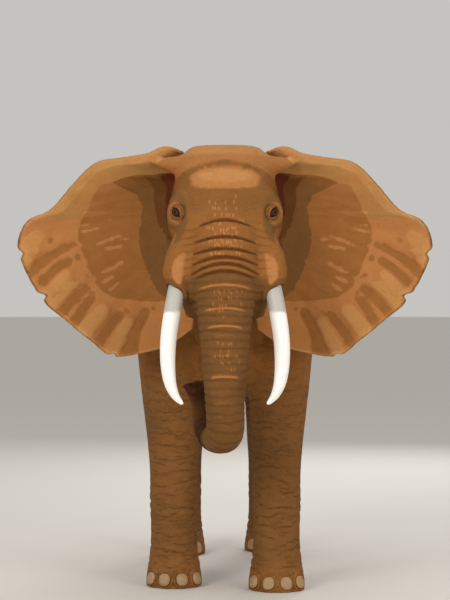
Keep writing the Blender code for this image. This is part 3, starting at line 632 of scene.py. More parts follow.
def by_nails(p):
    """Whether a point is on the front of a foot, where the nails stand."""
    return p.z < 0.155 and (p.y < -0.97 or 0.86 < p.y < 1.12)


def within(centre, reach):
    """A test for points within reach of a centre, or of its mirror image."""
    return lambda p: (Vector((math.copysign(p.x, centre.x), p.y, p.z)) - centre).length < reach


FINE_PLACES = [
    lambda p: p.y < FACE_BACK + 0.02 and p.z < 3.5,                                     # face and trunk
    lambda p: p.y < -2.03 and abs(p.x) < 0.30 and 1.95 < p.z < 2.90,                    # creased brow
    by_nails,
    by_nails,
    within(TRUNK_END, 0.13),
    lambda p: abs(p.x) > 0.06 and -2.06 < p.y < -1.60 and 2.01 < p.z < 2.23,            # mouth
    within(CUFF, 0.16),
    within(EYE, 0.105),
    within(EYE, 0.090),
]
bm = bmesh.new()
bm.from_mesh(flesh.data)
bmesh.ops.bisect_plane(bm, geom=[*bm.verts, *bm.edges, *bm.faces], plane_co=(0, 0, 0), plane_no=(0, 0, -1),
                       clear_outer=True)
soles = [e for e in bm.edges if e.is_boundary]
bmesh.ops.holes_fill(bm, edges=soles, sides=0)
for place in FINE_PLACES:
    refined(bm, place)
bmesh.ops.recalc_face_normals(bm, faces=bm.faces)
bm.to_mesh(flesh.data)
bm.free()
print("refined", triangles(flesh.data), "triangles")

# %% [markdown]
# ## Wrinkles of the face
# Six deep creases cross the root of the trunk, each an arch that is higher in the middle. Below them,
# raised folds catch the light and carry a painted highlight on top, and finer rings run all the way round the
# trunk to its tip. A crease is a furrow with a swelling under it. Each point also keeps how deep in a crease
# it lies, and the creases are given painted shade.

# %% Creases, ridges and rings
# creases: height at the middle, height at the ends, half width, depth
CREASES = [
    (2.812, 2.765, 0.200, 0.016),
    (2.690, 2.640, 0.235, 0.018),
    (2.603, 2.556, 0.245, 0.018),
    (2.541, 2.475, 0.255, 0.016),
    (2.493, 2.404, 0.258, 0.015),
    (2.440, 2.379, 0.220, 0.013),
]
# ridges: the same measures, and they stand out
RIDGES = [
    (2.342, 2.306, 0.195, 0.010),
    (2.178, 2.154, 0.150, 0.010),
    (2.052, 2.030, 0.130, 0.011),
    (1.985, 1.972, 0.085, 0.003),
    (1.838, 1.818, 0.120, 0.004),
    (1.690, 1.678, 0.105, 0.011),
    (1.500, 1.488, 0.095, 0.004),
]
CREASE_WIDTH = 0.015
RIDGE_WIDTH = 0.013
PALE_WIDTH = 0.009      # width of the painted highlight on top of a ridge
PALE_HEIGHT = 0.010     # ridges this high get the full painted highlight
RING_SPACING = 0.056
RING_DEPTH = 0.0055


def arch(points, middle, ends, half):
    """How far above an arched line each point lies, and how much of the line is there."""
    share = np.clip(np.abs(points[:, 0]) / half, 0, 1.4)
    above = points[:, 2] - (middle - (middle - ends) * share ** 2)
    return above, 1 - ease(0.72, 1.08, share)


def along_path(points, rows):
    """Each point's place along a path in metres, its distance from the middle line and the radius there."""
    rows = smooth_rows(rows, 160)
    steps = np.linalg.norm(np.diff(rows[:, :3], axis=0), axis=1)
    lengths = np.concatenate([[0], np.cumsum(steps)])
    tree = kdtree.KDTree(len(rows))
    for i, row in enumerate(rows):
        tree.insert(row[:3], i)
    tree.balance()
    ways = np.gradient(rows[:, :3], axis=0)
    ways /= np.linalg.norm(ways, axis=1)[:, None]
    place, reach, radius = np.empty((3, len(points)))
    for n, p in enumerate(points):
        co, i, distance = tree.find(p)
        place[n] = lengths[i] + (p - rows[i, :3]) @ ways[i]
        reach[n] = distance
        radius[n] = rows[i, 3:5].mean()
    return place, reach, radius


print("creases from", CREASES[0][0], "down to", RIDGES[-1][1], "m")

# %% Press the wrinkles in
def wrinkled(points, normals):
    """The points with creases, ridges and rings, each one's depth in a crease, and its painted highlight on a
    ridge, 0 to 1.
    """
    crease, pale = np.zeros(len(points)), np.zeros(len(points))
    front = ease(0.10, 0.45, -normals[:, 1]) * ease(1.96, 2.06, -points[:, 1])
    out = np.zeros(len(points))
    for middle, ends, half, depth in CREASES:
        above, there = arch(points, middle, ends, half)
        line = hump(above, 0, CREASE_WIDTH) * there * front
        swell = hump(above, -2.2 * CREASE_WIDTH, 1.4 * CREASE_WIDTH) * there * front
        out += depth * (0.45 * swell - line)
        share = np.clip(np.abs(points[:, 0]) / half, 0, 1)
        tapered = CREASE_WIDTH * (1.1 - 0.7 * share ** 2)
        # painted shade along each crease, narrowing towards its ends
        shade_along_crease = (1 - ease(0.6, 1.1, np.abs(above) / tapered)) * (there > 0.3) * front
        crease = np.maximum(crease, shade_along_crease)
    for middle, ends, half, height in RIDGES:
        above, there = arch(points, middle, ends, half)
        ridge = hump(above, 0, RIDGE_WIDTH) * there * front
        out += height * ridge
        # painted highlight along the top of each ridge, stronger on higher ridges
        pale = np.maximum(pale, hump(above, 0, PALE_WIDTH) * there * front * height / PALE_HEIGHT)
    place, reach, radius = along_path(points, TRUNK)
    reach /= radius
    wander = slow_noise(points, 0.12, 2) * 0.25
    rings = (0.5 + 0.5 * np.cos(2 * math.pi * (place / RING_SPACING + wander))) ** 5
    lower = (1 - ease(2.28, 2.46, points[:, 2])) * (1 - ease(1.15, 1.45, reach)) * (points[:, 1] < -1.6)
    side = ease(0.15, 0.24, np.abs(points[:, 0])) * (1 - ease(2.72, 2.86, points[:, 2]))
    upper = side * (points[:, 1] < -1.96) * (1 - ease(1.25, 1.5, reach)) * ease(2.28, 2.46, points[:, 2])
    amount = np.maximum(lower, 0.8 * upper)
    out -= RING_DEPTH * rings * amount
    # painted shade in the grooves of the rings
    crease = np.maximum(crease, 0.46 * rings * amount)
    return points + normals * out[:, None], crease, pale


points = points_of(flesh.data)
points, crease, pale = wrinkled(points, normals_of(flesh.data))
set_points(flesh.data, points)
print(len(CREASES), "creases,", len(RIDGES), "ridges,", int((crease > 0.3).sum()), "points in a crease")

# %% [markdown]
# ## The lids
# An elephant's eye sits in a pouch of folded skin. Points round the eyeball are laid on a slightly larger
# ball, which makes two lids, and points inside an almond are drawn in behind the ball's surface, which
# opens them. The almond leans: its outer corner is the higher one. Two more folds ring it at a finger's
# width.

# %% Lay the lids over the eyeball
EYE_RADIUS = 0.050
EYE_AXIS = Vector((0.50, -0.86, 0.06)).normalized()
EYE_LEAN = Vector((0.60, 0.30, 0.80))          # the almond's long way, before it is laid square to the axis
EYE_LONG = (EYE_LEAN - EYE_AXIS * EYE_LEAN.dot(EYE_AXIS)).normalized()
EYE_SHORT = EYE_AXIS.cross(EYE_LONG)
LASH_SIDE = math.copysign(1, EYE_SHORT.z)      # the side of the almond that is the upper lid
OPENING = (0.046, 0.0275)     # half length and half height of the almond
LID = 0.007                   # thickness of the lids over the ball
LID_FOLDS = (0.017, 0.033)    # distance of the folds outside the almond
LID_FOLD_DEPTH, LID_FOLD_WIDTH = 0.0035, 0.0045
LID_SNAP = 0.0017             # points this near the almond's edge are moved onto it, to make it even
LID_MARGIN = 0.004            # width of the dark margin of the lids
BALL_DEPTH = 0.007            # how far behind the ball's surface the opened points lie


def half_open(along):
    """Half the height of the almond at each place along it."""
    return OPENING[1] * (1 - (np.clip(np.abs(along) / OPENING[0], 0, 1)) ** 2.2)


def almond(along, over):
    """Distance outside the almond's edge, negative inside, in metres."""
    edge = half_open(along)
    past = np.maximum(np.abs(along) - OPENING[0], 0)
    inside = np.maximum(edge - np.abs(over), 0) * (past == 0)
    return np.hypot(np.maximum(np.abs(over) - edge, 0), past) - inside


def lidded(points, crease):
    """The points with lids and their folds, the creases, and how near each point is to the lids' edge."""
    rim = np.zeros(len(points))
    for side in (1, -1):
        local = points * np.array((side, 1, 1)) - np.array(EYE)
        ahead, along, over = (local @ np.array(way) for way in (EYE_AXIS, EYE_LONG, EYE_SHORT))
        near = (np.linalg.norm(local, axis=1) < 0.13) & (ahead > -0.01)
        miss = half_open(along) - np.abs(over)
        snap = near & (np.abs(miss) < LID_SNAP) & (np.abs(along) < 0.97 * OPENING[0])
        shift = np.where(snap, miss * np.sign(over), 0)
        over += shift
        points = points + shift[:, None] * np.array(EYE_SHORT) * (side, 1, 1)
        gap = np.where(snap, 0, almond(along, over))
        round_eye = np.hypot(along, over)
        hold = (1 - ease(0.040, 0.082, round_eye)) * near
        radius = np.where(gap < 0, EYE_RADIUS - BALL_DEPTH, EYE_RADIUS + LID)
        flat = np.minimum(round_eye, 0.999 * radius)
        laid = np.sqrt(radius ** 2 - flat ** 2)
        lift = np.where(near, (laid - ahead) * hold, 0)
        # the folds round the lids and the lids' edge get painted shade through the crease number
        for fold in LID_FOLDS:
            ring = hump(gap, fold, LID_FOLD_WIDTH) * near * (1 - ease(0.05, 0.09, round_eye))
            lift -= LID_FOLD_DEPTH * ring
            crease = np.maximum(crease, 0.8 * ring)
        margin = hump(gap, 0, LID_MARGIN) * near * (gap >= 0)
        crease = np.maximum(crease, 0.6 * margin)
        points = points + lift[:, None] * np.array(EYE_AXIS) * (side, 1, 1)
        rim = np.maximum(rim, hump(np.maximum(gap, 0), 0, LID_MARGIN) * near)
    return points, crease, rim


points, crease, lid_edge = lidded(points, crease)
set_points(flesh.data, points)
print("lids", int((lid_edge > 0.5).sum()), "points at their edge or inside it")

# %% [markdown]
# ## Lips, cuffs, cuticles and nostrils
# The lips part in a line that runs back from the gap behind the trunk. The hide rises in a cuff round each
# tusk and in a fold round each nail, so that tusk and nail sit in it. The tip of the trunk has two
# nostrils.

# %% Part the lips and raise the cuffs
# y and z along the parting of the lips
MOUTH = np.array([(-2.06, 2.085), (-1.92, 2.088), (-1.78, 2.115), (-1.64, 2.185)])
MOUTH_WIDTH, MOUTH_DEPTH = 0.013, 0.024
CUFF_RISE = 0.013       # height of the cuff round a tusk


def lips_parted(points, normals, crease):
    """The points with the lips parted by a furrow and swollen beside it."""
    y = points[:, 1]
    above = points[:, 2] - np.interp(y, MOUTH[:, 0], MOUTH[:, 1])
    there = ((y - MOUTH[0, 0]) * (MOUTH[-1, 0] - y) > 0) * ease(0.2, 0.5, np.abs(normals[:, 0]))
    there = there * (1 - ease(-1.74, -1.64, y)) * ease(0.10, 0.14, np.abs(points[:, 0]))
    parting = hump(above, 0, MOUTH_WIDTH) * there
    lips = (hump(above, 0.040, 0.022) + hump(above, -0.034, 0.020)) * there
    points = points + normals * (0.30 * MOUTH_DEPTH * lips - MOUTH_DEPTH * parting)[:, None]
    # painted shade in the parting of the lips
    return points, np.maximum(crease, 0.85 * parting)


def tusks_cuffed(points, normals, crease):
    """The points with a cuff of hide round each tusk, and a shallow valley round the cuff."""
    close = (points[:, 1] < -1.95) & (points[:, 2] < 2.45) & (points[:, 2] > 2.05)
    for side in (1, -1):
        near = np.flatnonzero(close & (points[:, 0] * side > 0.2))
        _, reach, radius = along_path(points[near] * (side, 1, 1), TUSK)
        gap = reach - radius
        rise = hump(gap, 0.016, 0.011) - 0.35 * hump(gap, 0.044, 0.010)
        points[near] += normals[near] * (CUFF_RISE * rise)[:, None]
        # painted shade where the cuff meets the tusk
        crease[near] = np.maximum(crease[near], 0.75 * hump(gap, 0, 0.007))
    return points, crease


normals = normals_of(flesh.data)
points, crease = lips_parted(points, normals, crease)
points, crease = tusks_cuffed(points, normals, crease)
print("mouth", round(MOUTH[-1, 0] - MOUTH[0, 0], 2), "m long, cuffs", CUFF_RISE * 1000, "mm high")

# %% Fold the hide round the nails and open the nostrils
# feet: x, y, half width, half depth at the nails, bearings of the nails in degrees
FORE_NAILS = (0.40, -0.966, 0.221, 0.244, (-54, -18, 18, 52))
HIND_NAILS = (0.36, 1.132, 0.188, 0.221, (-40, 0, 38))
NAIL_HEIGHT = 0.072
NAIL_SIZE = (0.046, 0.020, 0.050)
NAIL_LEAN = math.radians(-17)
CUTICLE = 0.011         # height of the fold round a nail
NOSTRILS = [((-0.246, -1.945, 1.665), 0.020), ((-0.205, -1.905, 1.672), 0.020)]    # place, radius
NOSTRIL_WAY = Vector((-0.30, -0.45, 0.84)).normalized()
NOSTRIL_DEPTH = 0.045


def nail_frame(feet, bearing):
    """Where a nail stands on its foot, and how it is turned."""
    x, y, wide, deep, _ = feet
    angle = math.radians(bearing)
    place = Vector((x + wide * math.sin(angle), y - deep * math.cos(angle), NAIL_HEIGHT))
    return Matrix.Translation(place) @ Matrix.Rotation(angle, 4, "Z") @ Matrix.Rotation(NAIL_LEAN, 4, "X")


def nails_folded(points, normals, crease):
    """The points with a fold of hide round each nail. The distance is counted in half sizes of the nail."""
    for feet in (FORE_NAILS, HIND_NAILS):
        for bearing in feet[4]:
            back = np.array(nail_frame(feet, bearing).inverted())
            for side in (1, -1):
                local = (points * (side, 1, 1)) @ back[:3, :3].T + back[:3, 3]
                reach = np.hypot(local[:, 0] / NAIL_SIZE[0], local[:, 2] / NAIL_SIZE[2])
                close = (np.abs(local[:, 1]) < 0.07) & (reach < 2.2)
                rise = (hump(reach, 1.22, 0.20) - 0.4 * hump(reach, 1.62, 0.16)) * close
                points += normals * (CUTICLE * rise)[:, None]
                # painted shade in the groove at the nail's edge
                crease = np.maximum(crease, 0.5 * hump(reach, 1.02, 0.10) * close)
    return points, crease


def nostrils_open(points, crease):
    """The points with two round pits in the tip of the trunk."""
    way = np.array(NOSTRIL_WAY)
    for place, radius in NOSTRILS:
        away = points - np.array(place)
        ahead = away @ way
        beside = np.linalg.norm(away - ahead[:, None] * way, axis=1)
        hole = (1 - ease(0.5, 1.25, beside / radius)) * (np.abs(ahead) < 0.05)
        points -= way * (NOSTRIL_DEPTH * hole)[:, None]
        # painted shade inside the nostril
        crease = np.maximum(crease, 0.9 * hole)
    return points, crease


sole = points[:, 2] < 0.0005
points, crease = nails_folded(points, normals, crease)
points, crease = nostrils_open(points, crease)
points[:, 2] = np.where(sole, 0, np.maximum(points[:, 2], 0))      # the soles stay flat on the floor
set_points(flesh.data, points)
print("nails", 2 * sum(len(feet[4]) for feet in (FORE_NAILS, HIND_NAILS)), "and nostrils", len(NOSTRILS))

# %% [markdown]
# ## The ears
# An ear is a wide dished flap. It is drawn as rays that fan from its root to its rim, so each point has two
# numbers: its turn, from the first ray at the crown to the last at the jaw, and how far out it lies. The
# top edge bends forward and folds back, the outer and lower edge falls in radial folds, and the rim is
# nicked. The same two numbers later place the markings.

# %% Shape of an ear
# rays from the root to the rim: x, y, z at the root, the same at the rim
EAR = [
    (0.20, -1.50, 3.30, 0.34, -1.56, 3.352),
    (0.25, -1.47, 3.25, 0.452, -1.58, 3.385),
    (0.28, -1.45, 3.19, 0.59, -1.60, 3.330),
    (0.29, -1.45, 3.12, 0.76, -1.60, 3.300),
    (0.30, -1.45, 3.05, 0.97, -1.58, 3.262),
    (0.31, -1.45, 2.98, 1.15, -1.54, 3.100),
    (0.31, -1.45, 2.92, 1.31, -1.49, 2.925),
    (0.31, -1.45, 2.86, 1.50, -1.44, 2.830),
    (0.31, -1.45, 2.79, 1.572, -1.43, 2.660),
    (0.31, -1.45, 2.71, 1.515, -1.44, 2.460),
    (0.30, -1.45, 2.63, 1.375, -1.46, 2.225),
    (0.30, -1.45, 2.55, 1.20, -1.49, 2.075),
    (0.29, -1.46, 2.47, 1.02, -1.52, 1.930),
    (0.28, -1.48, 2.40, 0.85, -1.55, 1.812),
    (0.27, -1.50, 2.33, 0.62, -1.59, 1.835),
    (0.25, -1.53, 2.26, 0.42, -1.62, 1.895),
    (0.22, -1.56, 2.19, 0.24, -1.64, 2.020),
]
EAR_BOWL = 0.13               # how far the flap is dished
EAR_FOLD = {"turn": 0.16, "turn_reach": 0.16, "out": 0.80, "out_reach": 0.21, "forward": 0.10}
EAR_THICK = (0.060, 0.016)    # at the root, and from a third of the way out
EAR_RAYS, EAR_STEPS = 200, 34
RIM_RIPPLE = 0.05             # size of the rim's ripples, which stay under 5 mm
STRIPE_RISE = 0.012           # height of a fold of the rim
VEIN_RISE = 0.003             # height of the veins that fan over the flap
# nicks in the rim: turn, depth in metres, half width in turn
NICKS = [(0.525, 0.030, 0.008), (0.616, 0.045, 0.006), (0.812, 0.022, 0.006), (0.40, 0.010, 0.005)]
# folds of the rim: turn and out at the inner end, the same at the outer end, half width in metres, rise
EAR_STRIPES = [
    (0.487, 0.90, 0.545, 1.00, 0.060, 1.0),
    (0.522, 0.72, 0.568, 0.98, 0.035, -1.0),
    (0.560, 0.73, 0.593, 0.94, 0.030, -1.0),
    (0.588, 0.78, 0.615, 0.97, 0.030, 0.9),
    (0.612, 0.79, 0.640, 0.97, 0.028, 0.9),
    (0.632, 0.72, 0.667, 0.98, 0.033, -1.0),
    (0.665, 0.75, 0.700, 0.96, 0.033, -1.0),
    (0.705, 0.74, 0.728, 0.97, 0.045, 1.0),
    (0.743, 0.68, 0.767, 0.97, 0.036, -1.0),
    (0.775, 0.66, 0.805, 0.97, 0.040, 0.9),
    (0.787, 0.50, 0.850, 1.00, 0.050, -1.0),
]
EAR_SPREAD = (3.2, 1.15)      # metres along the rim and from root to rim, for measuring on the ear


print("ears", len(EAR), "rays,", len(EAR_STRIPES), "folds of the rim,", len(NICKS), "nicks")

# %% Strokes on an ear
def stroke_distance(turn, out, start, end):
    """How far each point of an ear lies from a line drawn on it from start to end, in metres."""
    wide = EAR_SPREAD[0] * (0.35 + 0.65 * (start[1] + end[1]) / 2)
    px, py = turn * wide, out * EAR_SPREAD[1]
    ax, ay, bx, by = start[0] * wide, start[1] * EAR_SPREAD[1], end[0] * wide, end[1] * EAR_SPREAD[1]
    t = np.clip(((px - ax) * (bx - ax) + (py - ay) * (by - ay)) / ((bx - ax) ** 2 + (by - ay) ** 2), 0, 1)
    return np.hypot(px - ax - t * (bx - ax), py - ay - t * (by - ay))


def stroke(turn, out, start, end, half):
    """1 on the middle of a stroke, fading to 0 at its half width."""
    return 1 - ease(0.55, 1.0, stroke_distance(turn, out, start, end) / half)


print("an ear's rim is", EAR_SPREAD[0], "m long")

# %% Make the ears
def ear_middle(rays, across):
    """The middle surface of an ear, ray by ray, and each point's turn and out."""
    ray = smooth_rows(EAR, rays)
    turn, out = np.meshgrid(np.linspace(0, 1, rays), np.linspace(0, 1, across), indexing="ij")
    root, rim = ray[:, :3], ray[:, 3:]
    reach = rim - root
    size = np.linalg.norm(reach, axis=1)
    for where, depth, half in NICKS:
        rim = rim - reach / size[:, None] * (depth * hump(turn[:, 0], where, half))[:, None]
    ripple = sum(np.sin(2 * math.pi * (turn[:, 0] * k + p)) / k for k, p in ((23, 0.1), (37, 0.6), (61, 0.3)))
    rim = rim - reach / size[:, None] * (RIM_RIPPLE * np.abs(ripple))[:, None]
    middle = root[:, None] + (rim - root)[:, None] * out[:, :, None]
    span = np.clip(size / 0.9, 0, 1)[:, None]
    middle[:, :, 1] += EAR_BOWL * span * np.sin(math.pi * np.clip(out / 0.97, 0, 1)) ** 0.8
    top = hump(turn, EAR_FOLD["turn"], EAR_FOLD["turn_reach"])
    middle[:, :, 1] -= EAR_FOLD["forward"] * top * hump(out, EAR_FOLD["out"], EAR_FOLD["out_reach"])
    rise = sum(s[5] * stroke(turn, out, s[:2], s[2:4], 1.5 * s[4]) for s in EAR_STRIPES)
    middle[:, :, 1] -= STRIPE_RISE * rise
    veins = np.sin(2 * math.pi * (turn * 19 + 0.5 * np.sin(5 * out))) * ease(0.15, 0.4, out)
    middle[:, :, 1] -= VEIN_RISE * veins
    return middle, turn, out


def ear():
    """A closed ear: front and back of its middle surface, thick at the root and thin at the rim."""
    middle, turn, out = ear_middle(EAR_RAYS, EAR_STEPS)
    normal = np.cross(np.gradient(middle, axis=0), np.gradient(middle, axis=1))
    normal /= np.linalg.norm(normal, axis=2)[:, :, None]
    thick = EAR_THICK[0] + (EAR_THICK[1] - EAR_THICK[0]) * np.clip(out / 0.35, 0, 1)[:, :, None] ** 0.7
    thick = thick * np.where(out > 0.9, np.sqrt(np.clip(1 - ((out - 0.9) / 0.1) ** 2, 0.0, 1)), 1)[:, :, None]
    front, back = middle - normal * thick / 2, middle + normal * thick / 2
    rings = [[Vector(p) for p in row[:-1]] + [Vector(middle[i, -1])] + [Vector(p) for p in back[i][-2::-1]]
             for i, row in enumerate(front)]
    return loft(rings), [(turn.ravel(), out.ravel(), face.reshape(-1, 3)) for face in (front, back)]


flap, ear_keys = ear()
ears = joined("ears", [mirrored(flap), flap])
print("ears", triangles(ears.data), "triangles")

# %% [markdown]
# ## One skin
# The ears are set into the head with a Boolean union, so that the whole animal is a single closed skin with
# no seam at the roots. The join is then eased, because hide flows from the head onto the ear.

# %% Unite ears and flesh
FLESH_TRIANGLES = 142000

for name, values in (("crease", crease), ("lid_edge", lid_edge), ("pale", pale)):
    flesh.data.attributes.new(name, "FLOAT", "POINT").data.foreach_set("value", values.astype(np.float32))
    ears.data.attributes.new(name, "FLOAT", "POINT")
fewer = flesh.modifiers.new("fewer", "DECIMATE")
fewer.ratio = FLESH_TRIANGLES / triangles(flesh.data)
baked(flesh)
root = flesh.modifiers.new("ears", "BOOLEAN")
root.operation = "UNION"
root.object = ears
root.solver = "EXACT"
baked(flesh)
bpy.data.objects.remove(ears)
skin = flesh.data
print("united", triangles(skin), "triangles")


def values_of(name):
    """The values of a point attribute of the skin."""
    held = skin.attributes[name]
    values = np.empty(len(skin.vertices), dtype=np.float32)
    held.data.foreach_get("value", values)
    return values.astype(float)


for name in ("crease", "lid_edge", "pale"):
    print(name, "reaches", round(values_of(name).max(), 2))

# %% Find each point's place on an ear and ease the join
ear_tree = kdtree.KDTree(2 * EAR_RAYS * EAR_STEPS)
turns, outs = [], []
for turn, out, places in ear_keys:
    for t, o, p in zip(turn, out, places):
        ear_tree.insert(p, len(turns))
        turns.append(t)
        outs.append(o)
ear_tree.balance()
FILLET_RINGS, FILLET_ROUNDS = 5, 20     # how wide and how soft the join at the ear's root is


def ear_place(points):
    """Each point's turn and out on its ear, and its distance from the ear."""
    turn, out, away = np.zeros(len(points)), np.zeros(len(points)), np.ones(len(points))
    maybe = (points[:, 2] > 1.75) & (np.abs(points[:, 1] + 1.5) < 0.40) & (np.abs(points[:, 0]) > 0.2)
    for n in np.flatnonzero(maybe):
        near = ear_tree.find_n((abs(points[n, 0]), points[n, 1], points[n, 2]), 8)
        share = np.array([1 / (distance + 1e-5) for _, _, distance in near])
        turn[n] = share @ [turns[i] for _, i, _ in near] / share.sum()
        out[n] = share @ [outs[i] for _, i, _ in near] / share.sum()
        away[n] = near[0][2]
    return turn, out, away


on_ear = ear_place(points_of(skin))[2] < 0.012
bm = bmesh.new()
bm.from_mesh(skin)
bm.verts.ensure_lookup_table()
joint = {v for e in bm.edges for v in e.verts if on_ear[e.verts[0].index] != on_ear[e.verts[1].index]}
for _ in range(FILLET_RINGS):
    joint |= {e.other_vert(v) for v in joint for e in v.link_edges}
smoothed(bm, list(joint), FILLET_ROUNDS)
bm.to_mesh(skin)
bm.free()
points = points_of(skin)
ear_turn, ear_out, away = ear_place(points)
on_ear = 1 - ease(0.004, 0.040, away)
print("eased the join at the ears' roots,", len(joint), "points")

# %% [markdown]
# ## Light and dark of the hide
# An elephant is dusted with the earth it lives on. Raised places get painted highlights and hollows painted
# shade. One number per point, the tone, runs from -1 for the darkest hide to 1 for the palest. Other numbers
# say how red, how grey or how deep in a crease a place is. They are painted from the shape of the animal: a
# painted highlight on the forehead and over the tusk sheaths, a dark trunk, a recess of painted shade, partly
# red, where the ear leaves the head, a pale band along its rim.

# %% Patches of the face
# soft oval patches on one half of the face: x and z of the middle, half width, half height, and where the
# edge begins and ends, in radii
# the gleam is a painted highlight on the forehead
GLEAM = (0.0, 3.140, 0.200, 0.046, 0.90, 1.08)
SOCKET = (0.365, 2.838, 0.090, 0.190, 0.90, 1.06)
LIDS = (0.366, 2.862, 0.062, 0.088, 0.92, 1.05)
UNDER_EYE = (0.392, 2.70, 0.040, 0.060, 0.90, 1.06)


def patch(x, z, shape):
    """1 inside a patch and 0 outside it, with a soft edge."""
    across, up, wide, high, begins, ends = shape
    return 1 - ease(begins, ends, np.hypot((x - across) / wide, (z - up) / high))


def brow_patch(x, z):
    """The forehead's painted highlight: an oval above its middle line, nearly flat below."""
    up = z - 3.118
    below = ((x / 0.250) ** 4 + (up / 0.074) ** 4) ** 0.25
    return 1 - ease(0.92, 1.06, np.where(up > 0, np.hypot(x / 0.262, up / 0.088), below))


def cheek_patch(x, z):
    """The painted highlight over a tusk's sheath: a leaning oval, cut off on its inner side."""
    up = z - 2.455
    leaning = 1 - ease(0.93, 1.05, np.hypot((x - 0.302 + 0.10 * up) / 0.080, up / 0.112))
    return leaning * ease(0.290, 0.308, x + 0.14 * up)


print("patches round the eye from", UNDER_EYE[1] - UNDER_EYE[3], "to", SOCKET[1] + SOCKET[3], "m")

# %% Paint the head and body
def painted(points):
    """Tone, red and grey of each point, as if there were no ears. The tone carries painted highlights and
    painted shade, and the red is painted shade.
    """
    x, y, z = np.abs(points[:, 0]), points[:, 1], points[:, 2]
    face, fore = ease(1.50, 1.62, -y), ease(1.80, 1.95, -y)
    body = 1 - face
    # forehead and crown: painted highlights, with a darker tone round them
    brow, gleam = brow_patch(x, z), patch(x, z, GLEAM)
    crown = ease(-0.006, 0.008, z - (3.262 - 0.95 * x ** 2)) * face
    tone = (0.50 * brow + 0.32 * gleam) * fore
    tone += crown * (0.36 + 0.34 * ease(3.305, 3.325, z + 0.05 * x))
    tone -= 0.14 * (1 - np.maximum(brow, crown)) * ease(2.80, 2.95, z) * (1 - ease(0.30, 0.36, x)) * fore
    # tusk sheaths with a painted highlight, dark trunk, and its curled end darker with painted shade
    cheek = cheek_patch(x, z)
    low = ease(0.0, 0.012, 2.392 + 0.06 * (1 - np.clip(x / 0.25, 0, 1) ** 2) - z) * fore
    curl = ease(-2.06, -2.00, y) * (1 - ease(1.66, 1.76, z)) * fore
    tone += 0.55 * cheek * fore - 0.36 * low * (1 - cheek) - 0.58 * curl
    # round the eye
    socket, lids, under = (patch(x, z, shape) for shape in (SOCKET, LIDS, UNDER_EYE))
    lids, under = lids * fore, under * fore
    tone += -0.34 * socket * fore + 0.60 * lids + 0.50 * under * (1 - lids)
    # side of the head, in the shade of the ear
    side = ease(1.36, 1.50, -y) * (1 - ease(1.70, 1.90, -y)) * ease(1.95, 2.15, z)
    tone -= 0.30 * side * ease(0.28, 0.36, x) * (1 - ease(2.98, 3.10, z))
    # a reddish painted shade on the side of the head, nearest the ear
    red = 0.35 * side * ease(0.36, 0.42, x) * (1 - ease(3.05, 3.18, z)) * ease(1.46, 1.56, -y)
    # back paler towards the top, painted shade under the belly, dusty feet
    tone += body * (0.28 * ease(2.55, 3.0, z) - 0.24 * (1 - ease(1.35, 1.85, z))
                    + 0.16 * slow_noise(points, 0.45, 3))
    tone += 0.20 * body * (1 - ease(0.10, 0.40, z))
    grey = socket * fore * (1 - np.maximum(0.6 * lids, 0.9 * under))
    grey = np.maximum(grey, 0.35 * body * (1 - ease(0.2, 1.1, z)))
    return tone, red, grey


off_ear = 1 - on_ear
tone, red, grey = (values * off_ear for values in painted(points))
y, z = points[:, 1], points[:, 2]
limb = np.maximum(1 - ease(1.45, 1.95, z), 1 - ease(-1.75, -1.60, y)) * off_ear
loose = ease(0.02, 0.05, away) * (1 - 0.65 * ease(1.50, 1.70, -y))
# short pale dashes run down the middle of the face: bottom of a stretch, its lower edge, top edge, top, share
DASHES = [(2.50, 2.56, 2.79, 2.82, 0.85), (2.79, 2.82, 2.98, 3.06, 0.36), (2.08, 2.14, 2.30, 2.34, 0.52),
          (1.68, 1.72, 1.98, 2.02, 0.45)]
midline = sum(share * ease(a, b, z) * (1 - ease(c, d, z)) for a, b, c, d, share in DASHES)
midline = ease(1.95, 2.08, -y) * off_ear * np.clip(midline, 0, 1)
print("tone of head and body", round(tone.min(), 2), "to", round(tone.max(), 2))

# %% Markings of an ear
# edges on the ear's face, as rows of turn and out
PANEL = [(0.145, -0.10), (0.165, 0.33), (0.195, 0.43), (0.23, 0.55), (0.287, 0.71), (0.302, 0.79),
         (0.357, 0.76), (0.432, 0.665), (0.49, 0.645), (0.573, 0.63), (0.637, 0.65), (0.685, 0.63),
         (0.743, 0.475), (0.80, 0.32), (1.00, 0.10)]
# inside the recess edges the ear lies in painted shade, darker in the hollow and reddish nearest the head
RECESS = [(0.145, -0.10), (0.165, 0.33), (0.195, 0.43), (0.23, 0.55), (0.287, 0.71), (0.300, 0.53),
          (0.312, 0.42), (0.36, 0.325), (0.455, 0.265), (0.575, 0.285), (0.748, 0.305), (1.00, 0.15)]
RECESS_DARK = [(0.145, -0.10), (0.165, 0.33), (0.195, 0.43), (0.235, 0.53), (0.247, 0.42), (0.273, 0.315),
               (0.415, 0.18), (0.505, 0.13), (0.585, 0.095), (0.70, 0.04), (0.78, -0.05)]
# the deepest painted shade of the recess is reddish
RECESS_RED = [(0.145, -0.10), (0.165, 0.30), (0.205, 0.375), (0.237, 0.235), (0.263, 0.19), (0.328, 0.150),
              (0.438, 0.115), (0.492, 0.095), (0.58, 0.055), (0.68, -0.05)]
# above this edge the top of the ear gets a painted highlight
TOP_LIGHT = [(0.00, 0.72), (0.095, 0.62), (0.15, 0.73), (0.205, 0.795), (0.25, 0.86), (0.28, 0.905),
             (0.38, 0.90), (0.44, 0.965), (0.50, 1.02), (1.00, 1.02)]
# pale streaks on the panel: turn and out at one end, the same at the other end
STREAKS = [
    (0.455, 0.65, 0.455, 0.59), (0.482, 0.625, 0.472, 0.53), (0.530, 0.545, 0.510, 0.40),
    (0.547, 0.495, 0.547, 0.39), (0.520, 0.385, 0.525, 0.345), (0.610, 0.57, 0.598, 0.42),
    (0.635, 0.60, 0.630, 0.52), (0.665, 0.60, 0.655, 0.52),
]
